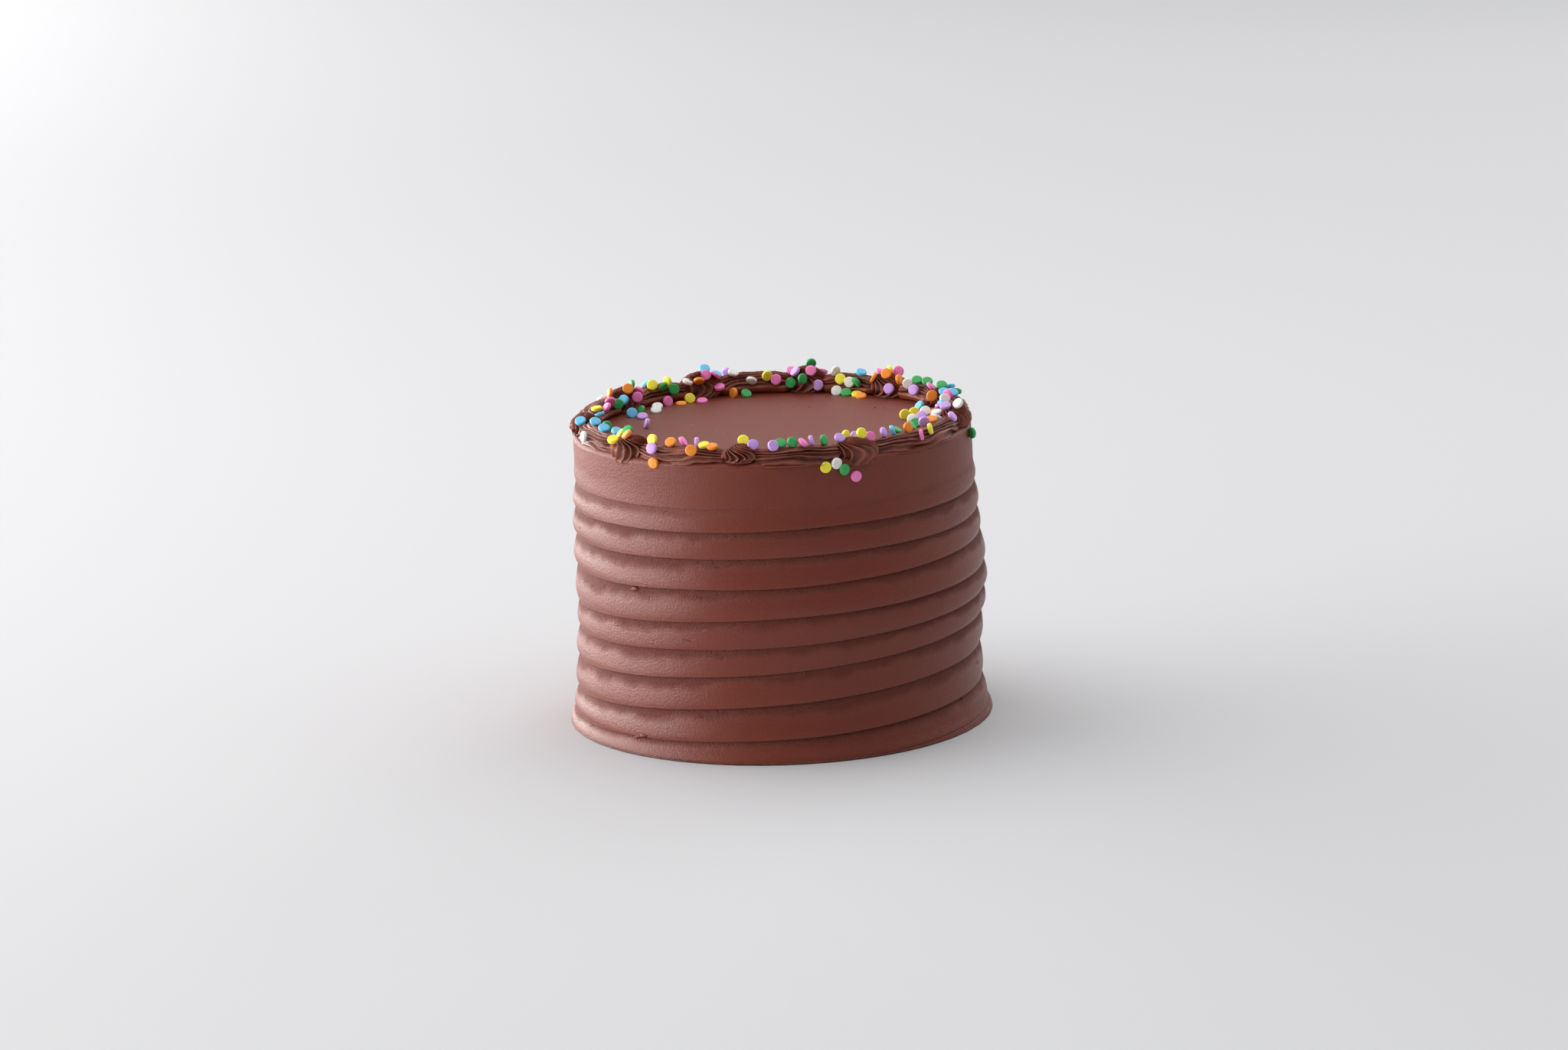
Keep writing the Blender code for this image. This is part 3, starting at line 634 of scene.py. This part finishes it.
def coat_side(share_round, row):
    """A point of the icing's side with its share of the band and how strongly the band is marked there."""
    azimuth = share_round * math.tau
    band, share = int(row), row - int(row)
    low = lip_height(band - 1 + share_round) if band else 0.0
    high = lip_height(band + share_round)
    low_strength = mark_strength(band - 1 + share_round) if band else 0.0
    high_strength = mark_strength(band + share_round)
    height = follow_slope(azimuth, blend(low, high, share))
    edge = max(1 - share / LIP_REACH, 0.0) * low_strength
    if band:
        height -= LIP_DROP * edge * edge
    relief = band_relief(share, low_strength, high_strength) - side_rounding(azimuth, share) * low_strength
    point = wall_point(azimuth, height, relief)
    torn = smooth_step((share - DRAG_SHARES[0]) / (DRAG_SHARES[1] - DRAG_SHARES[0])) * high_strength
    outward = polar(azimuth, 1, 0)
    wave = noise.noise(point * WAVE_SCALE) * WAVE_DEPTH
    drag = noise.noise(Vector(value * axis for value, axis in zip(point, DRAG_SCALE)))
    inset = abs(drag) * DRAG_DEPTH * torn
    return point + outward * (wave - inset), share, blend(low_strength, high_strength, share)


def coat_rim(share_round, angle):
    """The rounded edge between side and top, from 0 at the side to a right angle on top."""
    edge, _, _ = coat_side(share_round, float(BANDS))
    inward = polar(share_round * math.tau, -1, 0)
    rise = Vector((0, 0, RIM_ROUNDING * math.sin(angle)))
    return edge + inward * RIM_ROUNDING * (1 - math.cos(angle)) + rise


def coat_top(share_round, size):
    edge = coat_rim(share_round, math.pi / 2)
    point = Vector((edge.x * size, edge.y * size, 0))
    point.z = top_height(point) + noise.noise(point * WAVE_SCALE * TOP_WAVES) * WAVE_DEPTH * (1 - size) ** 0.5
    return point


def coat_rows():
    """Rows of the icing from the middle of the base up the side and over the rim to the middle of the top."""
    rows = [("base", 0.0)]
    rows += [("side", band + share) for band in range(BANDS) for share in BAND_SHARES]
    rows += [("side", float(BANDS))]
    rows += [("rim", math.pi / 2 * step / RIM_STEPS) for step in range(1, RIM_STEPS + 1)]
    rows += [("top", size) for size in TOP_RINGS] + [("top", 0.0)]
    return rows


def grid_form(columns, rows, *names):
    """A grid of faces, its named layers of numbers, and its points, each with its column and row."""
    form = bmesh.new()
    layers = [form.verts.layers.float.new(name) for name in names]
    bmesh.ops.create_grid(form, x_segments=columns, y_segments=rows, size=0.5)
    places = [(round((point.co.x + 0.5) * columns), round((point.co.y + 0.5) * rows)) for point in form.verts]
    return form, layers, list(zip(form.verts, places))


def spread_coat():
    rows = coat_rows()
    form, layers, points = grid_form(COAT_COLUMNS, len(rows) - 1, "band_share", "band_strength")
    share_layer, strength_layer = layers
    for point, (column, row) in points:
        share_round = column / COAT_COLUMNS
        kind, value = rows[row]
        if kind == "side":
            point.co, point[share_layer], point[strength_layer] = coat_side(share_round, value)
        elif kind == "rim":
            point.co = coat_rim(share_round, value)
        elif kind == "top":
            point.co = coat_top(share_round, value)
        else:
            point.co = (0, 0, 0)
    bmesh.ops.remove_doubles(form, verts=form.verts, dist=COAT_WELD)
    bmesh.ops.dissolve_degenerate(form, edges=form.edges, dist=SHORTEST_EDGE)
    return form


def icing_at(surface, azimuth, place):
    """A point of the icing: place is its height on the side, or its radius on the top."""
    if surface == "top":
        point = polar(azimuth, place, 0)
        point.z = top_height(point)
        return point
    share_round = azimuth / math.tau % 1
    for band in range(BANDS):
        low = mark_height(band - 1 + share_round) if band else 0.0
        high = mark_height(band + share_round)
        if place <= high:
            share = (place - low) / (high - low)
            low_strength = mark_strength(band - 1 + share_round) if band else 0.0
            relief = band_relief(share, low_strength, mark_strength(band + share_round))
            return wall_point(azimuth, place, relief - side_rounding(azimuth, share) * low_strength)
    return wall_point(azimuth, place, UNMARKED_LEVEL)


def mark_axes(surface, azimuth, places):
    """The two directions across a mark: straight out of the icing, and along its surface."""
    (first, low), (last, high) = places[0], places[-1]
    turned, climb = math.radians(last) - math.radians(first), (high - low) * MM
    out, up = polar(azimuth, 1, 0), Vector((0, 0, 1))
    aside = Vector((math.cos(azimuth), math.sin(azimuth), 0))
    if surface == "side":
        return out, (aside * turned * BORDER_RADIUS + up * climb).normalized().cross(out)
    return up, (aside * turned * low * MM + out * climb).normalized().cross(up)


def icing_marks(marks):
    """Thin rolls of icing half sunk into its surface, each tapering to both ends."""
    form = bmesh.new()
    turns = [math.tau * side / FLECK_SIDES for side in range(FLECK_SIDES)]
    for surface, thickness, places in marks:
        azimuths, distances = zip(*places)
        loops = []
        for step in range(FLECK_STEPS + 1):
            along = step / FLECK_STEPS
            azimuth = math.radians(curve_through(azimuths, along * (len(places) - 1)))
            middle = icing_at(surface, azimuth, curve_through(distances, along * (len(places) - 1)) * MM)
            radius = thickness / 2 * MM * max(math.sin(math.pi * along), FLECK_TIP) ** FLECK_FULLNESS
            out, beside = mark_axes(surface, azimuth, places)
            loops.append([form.verts.new(middle + (out * math.cos(turn) + beside * math.sin(turn)) * radius)
                          for turn in turns])
        for low, high in zip(loops, loops[1:]):
            for side in range(FLECK_SIDES):
                after = (side + 1) % FLECK_SIDES
                form.faces.new((low[side], low[after], high[after], high[side]))
        form.faces.new(loops[0])
        form.faces.new(loops[-1])
    bmesh.ops.recalc_face_normals(form, faces=form.faces)
    return form


def rosette_azimuth(index):
    return math.radians(ROSETTES[index % len(ROSETTES)][0])


def rosette_size(index):
    """Half length along the rim, half width across it, and height."""
    along, across, height = ROSETTES[index % len(ROSETTES)][1:4]
    return along * MM, across * MM, height * MM


def border_span(azimuth):
    """The rosette or garland at an azimuth: its kind, its index, and the distance along it."""
    for index in range(len(ROSETTES)):
        away = (azimuth - rosette_azimuth(index) + math.pi) % math.tau - math.pi
        distance = away * BORDER_RADIUS
        if abs(distance) <= rosette_size(index)[0] + CLEARANCE:
            return "rosette", index, distance
    for index in range(len(ROSETTES)):
        start, end = garland_ends(index)
        passed = (azimuth - start) % math.tau
        if passed <= end - start:
            return "garland", index, passed * BORDER_RADIUS
    return "garland", 0, 0.0


def garland_ends(index):
    start = rosette_azimuth(index)
    end = rosette_azimuth(index + 1)
    while end < start:
        end += math.tau
    start += (rosette_size(index)[0] + CLEARANCE) / BORDER_RADIUS
    end -= (rosette_size(index + 1)[0] + CLEARANCE) / BORDER_RADIUS
    return start, end


def garland_size(index, share):
    """Middle radius, half width and height of a garland, which hangs outwards between its two ends."""
    swell = 1 - abs(2 * min(max(share, 0.0), 1.0) - 1) ** 4
    size = blend(GARLAND_TAPER, 1.0, swell) * (1 + GARLAND_VARIETY * math.sin(index * VARIETY_STEP))
    height = GARLAND_HEIGHT - GARLAND_FLATTENING * math.cos(blend(*garland_ends(index), share))
    return BORDER_RADIUS - GARLAND_INSET + GARLAND_SAG * swell, GARLAND_HALF_WIDTH * size, height * size


def garland_section(index, azimuth):
    start, end = garland_ends(index)
    return garland_size(index, ((azimuth - start) % math.tau) / (end - start))


def rosette_point(index, turn, width, level):
    """A point of a rosette: turn round its own middle, width and level as shares of its size."""
    along, across, height = rosette_size(index)
    eye_along, eye_across = ROSETTES[index][4:]
    middle = rosette_azimuth(index)
    outward = Vector((math.sin(middle), -math.cos(middle), 0))
    sideways = Vector((math.cos(middle), math.sin(middle), 0))
    turn -= ROSETTE_SWIRL * max(1 - width, 0) ** SWIRL_TIGHTNESS
    reach = outward * across * (math.cos(turn) * width + eye_across * (1 - width))
    reach += sideways * along * (math.sin(turn) * width + eye_along * (1 - width))
    point = outward * BORDER_RADIUS + reach
    start, steepness = SKIRT_FRONT
    front = smooth_step((math.cos(turn) - start) * steepness)
    hang = SKIRT_HANGS.get(index, 0) * MM * front * (1 - level) ** 3
    point.z = top_height(point) + CLEARANCE + height * level - hang
    return point


def groove_depth(place):
    """0 on the sharp crest of a ridge and 1 in the round bottom of a groove; place counts ridges."""
    return abs(math.sin(math.pi * place)) ** RIDGE_SHARPNESS


def rosette_profile(place):
    """Width and level of a rosette's outline, from the foot at 0 to the eye at 1."""
    step = place * (len(ROSETTE_PROFILE) - 1)
    widths, levels = zip(*ROSETTE_PROFILE)
    return max(curve_through(widths, step), 0.0), curve_through(levels, step)


def rosette_surface(index, turn, place):
    """A point of a rosette's smooth outline and the direction straight out of it there."""
    width, level = rosette_profile(place)
    here = rosette_point(index, turn, width, level)
    before = rosette_point(index, turn, *rosette_profile(max(place - SURFACE_STEP, 0)))
    beside = rosette_point(index, turn + SURFACE_STEP, width, level)
    outward = (beside - here).cross(here - before)
    return here, outward.normalized() if outward.length > SMALLEST_CROSS else Vector((0, 0, 1))


def piped_rosette(index):
    """A swirl whose sharp ridges stand upright at the foot and wind round the eye on top."""
    form, (ridge_layer,), points = grid_form(ROSETTE_COLUMNS, ROSETTE_ROWS, "ridge")
    rise_rate, rise_start = FOOT_EASING
    for point, (column, row) in points:
        round_share = column / ROSETTE_COLUMNS
        if row == 0:
            point.co = rosette_point(index, 0, 0, 0)
            continue
        place = (row - 1) / (ROSETTE_ROWS - 1)
        width, _ = rosette_profile(place)
        turn = round_share * math.tau
        around = Vector((math.cos(turn), math.sin(turn), index * ROSETTE_NOISE_STEP + place))
        wander = RIDGE_WANDER * noise.noise(around * WANDER_SCALE)
        groove = groove_depth(round_share * ROSETTE_RIDGES + wander)
        groove *= GROOVE_SHARE + GROOVE_SWING * noise.noise(around * SWING_SCALE)
        depth = ROSETTE_GROOVE * smooth_step(width * EYE_EASING) * smooth_step(place * rise_rate + rise_start)
        here, outward = rosette_surface(index, turn, place)
        point.co = here - outward * depth * groove
        point[ridge_layer] = 1 - groove
    bmesh.ops.remove_doubles(form, verts=form.verts, dist=PIPING_WELD)
    bmesh.ops.recalc_face_normals(form, faces=form.faces)
    return form


def garland_point(index, share, angle, size):
    radius, half_width, height = garland_size(index, share)
    start, end = garland_ends(index)
    middle = 1 / (1 - 1 / math.sin(math.radians(GARLAND_FOOT)))
    across = half_width * math.cos(angle) * size
    rise = max(height * (middle + (1 - middle) * math.sin(angle) * size), 0.0)
    if angle < 0:
        hang = math.sin(angle) / math.sin(math.radians(GARLAND_FOOT))
        across = half_width * size * (1 + GARLAND_FLARE * hang * hang)
        rise = blend(rise, -GARLAND_HANG, hang * hang)
    point = polar(blend(start, end, share), radius + across, 0)
    point.z = top_height(point) + CLEARANCE + rise
    return point


def strand_groove(index, along, angle):
    """Depth of the grooves between a garland's strands, at so many mm along it and degrees over it."""
    first, last = GARLAND_STRANDS
    wander = sum(amount * noise.noise(Vector((along / length, angle / arc, index * step)))
                 for amount, length, arc, step in STRAND_WANDERS)
    place = (angle - first) / STRAND_STEP + wander
    ribbed = smooth_step((angle - first) / STRAND_FADE) * smooth_step((last - angle) / STRAND_FADE)
    scale, length = STRAND_SWING_SCALES
    swing = noise.noise(Vector((place * scale, along / length, index + GARLAND_NOISE_START)))
    fine, finer, shift = FINE_STRANDS
    depth = (1 - fine) * groove_depth(place) + fine * groove_depth(place * finer + shift)
    return depth * ribbed * (STRAND_SHARE + STRAND_SWING * swing)


def piped_garland(index):
    """A ribbed strand whose ridges wander a little, with both ends rounded off inside the rosettes."""
    form, (ridge_layer,), points = grid_form(GARLAND_COLUMNS, GARLAND_ROWS, "ridge")
    start, end = garland_ends(index)
    tuck = GARLAND_TUCK / ((end - start) * BORDER_RADIUS)
    top_columns = GARLAND_COLUMNS - UNDERSIDE_COLUMNS
    for point, (column, row) in points:
        angle = blend(GARLAND_FOOT, 180 - GARLAND_FOOT, min(column / top_columns, 1.0))
        share = blend(-tuck, 1 + tuck, row / GARLAND_ROWS)
        along = share * (end - start) * BORDER_RADIUS / MM
        groove = strand_groove(index, along, angle)
        close = min(row, GARLAND_ROWS - row) / GARLAND_ROWS * (1 + 2 * tuck) / tuck
        size = (1 - GARLAND_GROOVE * groove) * smooth_step(min(close, 1.0) * 0.5 + 0.5 if close > 0 else 0)
        point.co = garland_point(index, share, math.radians(angle), size)
        if column > top_columns:
            under = (column - top_columns) / UNDERSIDE_COLUMNS
            inner = garland_point(index, share, math.radians(180 - GARLAND_FOOT), size)
            outer = garland_point(index, share, math.radians(GARLAND_FOOT), size)
            point.co = inner.lerp(outer, under)
        point[ridge_layer] = 1 - groove
    bmesh.ops.remove_doubles(form, verts=form.verts, dist=PIPING_WELD)
    bmesh.ops.holes_fill(form, edges=form.edges)
    bmesh.ops.recalc_face_normals(form, faces=form.faces)
    return form


def border_surface(azimuth, over):
    """The border's piece at an azimuth, a point on its smooth outline and the direction straight out."""
    kind, index, distance = border_span(azimuth)
    if kind == "rosette":
        along, across, height = rosette_size(index)
        narrowing = math.sqrt(max(1 - (distance / along) ** 2, ROSETTE_END ** 2))
        radius, half_width, height = BORDER_RADIUS, across * narrowing, height * narrowing
        foot = 0.0
    else:
        radius, half_width, height = garland_section(index, azimuth)
        foot = GARLAND_SIDE_LEVEL
    across = half_width * math.cos(over)
    rise = height * (foot + (1 - foot) * math.sin(over))
    place = polar(azimuth, radius + across, 0)
    place.z = top_height(place) + CLEARANCE + rise
    steep = math.atan2(math.sin(over) * half_width, math.cos(over) * height * (1 - foot))
    outward = polar(azimuth, math.cos(steep), math.sin(steep))
    return kind, index, distance, place, outward


def facing(azimuth, yaw, pitch):
    flat = math.cos(pitch)
    return polar(azimuth + yaw, flat, math.sin(pitch))


def tilted(outward, lean, spin):
    """The direction that leans off another one by an angle, turned round it by spin."""
    aside = outward.orthogonal()
    aside.rotate(Matrix.Rotation(spin, 3, outward))
    return (outward * math.cos(lean) + aside * math.sin(lean)).normalized()


def heaped(azimuth, over):
    """The face of heaped confetti: between straight off the border and towards the front."""
    *_, outward = border_surface(azimuth, over)
    return (outward * (1 - HEAP_SHARE) + HEAP_FRONT * HEAP_SHARE).normalized()


def confetti_reach(face, direction):
    """How far a piece of confetti reaches from its middle along a direction."""
    lean = abs(face.dot(direction))
    return CONFETTI_RADIUS * math.sqrt(max(1 - lean * lean, 0)) + CONFETTI_THICKNESS / 2 * lean


def resting_place(azimuth, over, face):
    """Middle and face of a confetti piece on the border, or None where it would foul a neighbour."""
    kind, index, distance, place, outward = border_surface(azimuth, over)
    lean = abs(face.dot(outward))
    sink = CONFETTI_SINK + EDGE_SINK * math.sqrt(max(1 - lean * lean, 0))
    middle = place + outward * (confetti_reach(face, outward) - sink)
    sideways = Vector((math.cos(azimuth), math.sin(azimuth), 0))
    reach = confetti_reach(face, sideways)
    if kind == "rosette":
        room = rosette_size(index)[0] - abs(distance) - reach
    else:
        start, end = garland_ends(index)
        length = (end - start) * BORDER_RADIUS
        room = min(distance, length - distance) - reach
    low = middle.z - confetti_reach(face, Vector((0, 0, 1)))
    if room < 0 or low < top_height(middle) + CLEARANCE:
        return None
    return middle, face


def fits(place, places):
    """Whether a confetti piece has its place and is clear of the others."""
    return place is not None and all((place[0] - other[0]).length > CONFETTI_SPACING for other in places)


def border_confetti():
    found = []
    for azimuth, over, yaw, pitch, colour in FRONT_CONFETTI:
        turned = math.radians(azimuth)
        face = facing(turned, math.radians(yaw), math.radians(pitch))
        found.append((resting_place(turned, math.radians(over), face), colour))
    for *row, colour in HEAP_CONFETTI:
        azimuth, over, lean, spin = (math.radians(angle) for angle in row)
        found.append((resting_place(azimuth, over, tilted(heaped(azimuth, over), lean, spin)), colour))
    places = []
    for place, colour in found:
        if fits(place, places):
            places.append((*place, colour))
    scatter_behind(places)
    return places


def scatter_behind(places):
    """Adds the confetti on the outer side of the border at the back."""
    draw, pick = random.Random(CONFETTI_SEED), random.Random(COLOUR_SEED)
    start, end, pieces = HIDDEN_STRETCH
    wanted = len(places) + pieces
    for _ in range(CONFETTI_TRIES):
        azimuth = math.radians(draw.uniform(start, end))
        over = math.radians(draw.triangular(*HIDDEN_PLACES))
        lean = math.radians(draw.triangular(*HIDDEN_LEANS))
        *_, outward = border_surface(azimuth, over)
        face = tilted(outward, lean, draw.uniform(0, math.tau))
        place = resting_place(azimuth, over, face)
        if fits(place, places):
            places.append((*place, pick.choice(sorted(CONFETTI_COLOURS))))
        if len(places) >= wanted:
            return


def side_confetti():
    places = []
    for azimuth, height, lean, colour in SIDE_CONFETTI:
        turned = math.radians(azimuth)
        face = facing(turned, math.radians(lean), 0)
        outward = polar(turned, 1, 0)
        wall = wall_point(turned, height * MM, UNMARKED_LEVEL)
        places.append((wall + outward * (confetti_reach(face, outward) - CONFETTI_SINK), face, colour))
    return places


def top_confetti():
    places = []
    upward = Vector((0, 0, 1))
    for azimuth, radius, yaw, pitch, colour in TOP_CONFETTI:
        face = facing(0, math.radians(yaw), math.radians(pitch))
        middle = polar(math.radians(azimuth), radius * MM, 0)
        middle.z = top_height(middle) + confetti_reach(face, upward) - CONFETTI_SINK
        places.append((middle, face, colour))
    return places


def confetti_of(colour, places):
    """All the confetti of one colour: round tablets with their two edges rounded off."""
    form = bmesh.new()
    for middle, face, tone in places:
        if tone != colour:
            continue
        turn = face.to_track_quat("Z", "Y").to_matrix().to_4x4()
        made = bmesh.ops.create_cone(form, cap_ends=True, segments=CONFETTI_SIDES, radius1=CONFETTI_RADIUS,
                                     radius2=CONFETTI_RADIUS, depth=CONFETTI_THICKNESS,
                                     matrix=Matrix.Translation(middle) @ turn)
        new = set(made["verts"])
        caps = [flat for flat in form.faces
                if len(flat.verts) == CONFETTI_SIDES and new.issuperset(flat.verts)]
        edges = [edge for cap in caps for edge in cap.edges]
        bmesh.ops.bevel(form, geom=edges, offset=CONFETTI_EDGE, offset_type="OFFSET", segments=EDGE_STEPS,
                        profile=0.5, affect="EDGES", material=-1)
    return form


def add_piece(name, form, material, slot, *nodes):
    mesh = bpy.data.meshes.new(name)
    form.to_mesh(mesh)
    form.free()
    mesh.materials.append(material)
    mesh.shade_smooth()
    piece = bpy.data.objects.new(name, mesh)
    bpy.context.scene.collection.objects.link(piece)
    if nodes:
        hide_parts(*nodes)
    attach(piece, "root")
    return piece


def build_cake():
    icing, piping = spread_icing(), piped_icing()
    coat = add_piece("icing_coat", spread_coat(), icing, "icing", "iced_cake")
    coat.data.set_sharp_from_angle(angle=SMOOTH_ANGLE)
    for index in range(len(ROSETTES)):
        number = f"{index + 1:02d}"
        add_piece(f"piped_rosette_{number}", piped_rosette(index), piping, "piping", f"rosette_{number}")
        add_piece(f"piped_garland_{number}", piped_garland(index), piping, "piping", f"garland_{number}")
    add_piece("icing_flecks", icing_marks(FLECKS), icing, "icing")
    # The dark marks take the piping's painted groove shade colour
    add_piece("icing_pits", icing_marks(PITS), piping, "icing")
    places = side_confetti() + top_confetti() + border_confetti()
    for colour, tone in CONFETTI_COLOURS.items():
        sugar = sugar_shell(f"sugar_{colour}", tone)
        add_piece(f"confetti_{colour}", confetti_of(colour, places), sugar, "sugar")


def lay_floor():
    form = bmesh.new()
    bmesh.ops.create_grid(form, x_segments=4, y_segments=4, size=FLOOR_SIZE / 2)
    mesh = bpy.data.meshes.new("floor")
    form.to_mesh(mesh)
    form.free()
    mesh.transform(Matrix.Translation((0, 0, -FLOOR_DROP)))
    mesh.materials.append(plain_floor())
    floor = bpy.data.objects.new("floor", mesh)
    bpy.context.scene.collection.objects.link(floor)


def light_studio():
    world = bpy.data.worlds.new("studio")
    world.use_nodes = True
    background = world.node_tree.nodes["Background"]
    background.inputs["Color"].default_value = (1, 1, 1, 1)
    tree = Signal(world.node_tree)
    direction = tree.add("ShaderNodeTexCoord", output="Generated")
    depth = tree.add("ShaderNodeSeparateXYZ", None, {"Vector": direction}, output="Y")
    share = depth.between(*WORLD_FADE)
    tree.join(background.inputs["Strength"], share * (WORLD_BACK - WORLD_FRONT) + WORLD_FRONT)
    bpy.context.scene.world = world
    target = Vector((0, 0, TOP_HEIGHT / 2))
    for name, place, width, height, power, colour in SOFT_LIGHTS:
        light = bpy.data.lights.new(name, "AREA")
        light.shape = "RECTANGLE"
        light.size, light.size_y = width, height
        light.energy = power
        light.color = colour
        lamp = bpy.data.objects.new(name, light)
        lamp.location = place
        lamp.rotation_euler = (target - Vector(place)).to_track_quat("-Z", "Y").to_euler()
        bpy.context.scene.collection.objects.link(lamp)


def place_camera():
    """Aims at the middle of the base, rolls, then turns until that point shows where the picture has it."""
    lens = bpy.data.cameras.new("camera")
    lens.sensor_width = SENSOR_WIDTH
    lens.lens = CAMERA_FOCUS / PICTURE_WIDTH * SENSOR_WIDTH
    lens.clip_end = CAMERA_REACH
    camera = bpy.data.objects.new("camera", lens)
    rise = CAMERA_DISTANCE * math.sin(CAMERA_ELEVATION)
    away = polar(0, CAMERA_DISTANCE * math.cos(CAMERA_ELEVATION), rise)
    across = math.atan((PICTURE_WIDTH / 2 - BASE_SHOWS_AT[0]) / CAMERA_FOCUS)
    down = math.atan((BASE_SHOWS_AT[1] - PICTURE_HEIGHT / 2) / CAMERA_FOCUS)
    turn = (-away).to_track_quat("-Z", "Y").to_matrix()
    turn = turn @ Matrix.Rotation(-CAMERA_ROLL, 3, "Z") @ Matrix.Rotation(down, 3, "X")
    turn = turn @ Matrix.Rotation(-across, 3, "Y")
    camera.matrix_world = Matrix.Translation(away) @ turn.to_4x4()
    bpy.context.scene.collection.objects.link(camera)
    bpy.context.scene.camera = camera
    bpy.context.scene.view_settings.view_transform = "Standard"


build_cake()
lay_floor()
light_studio()
place_camera()
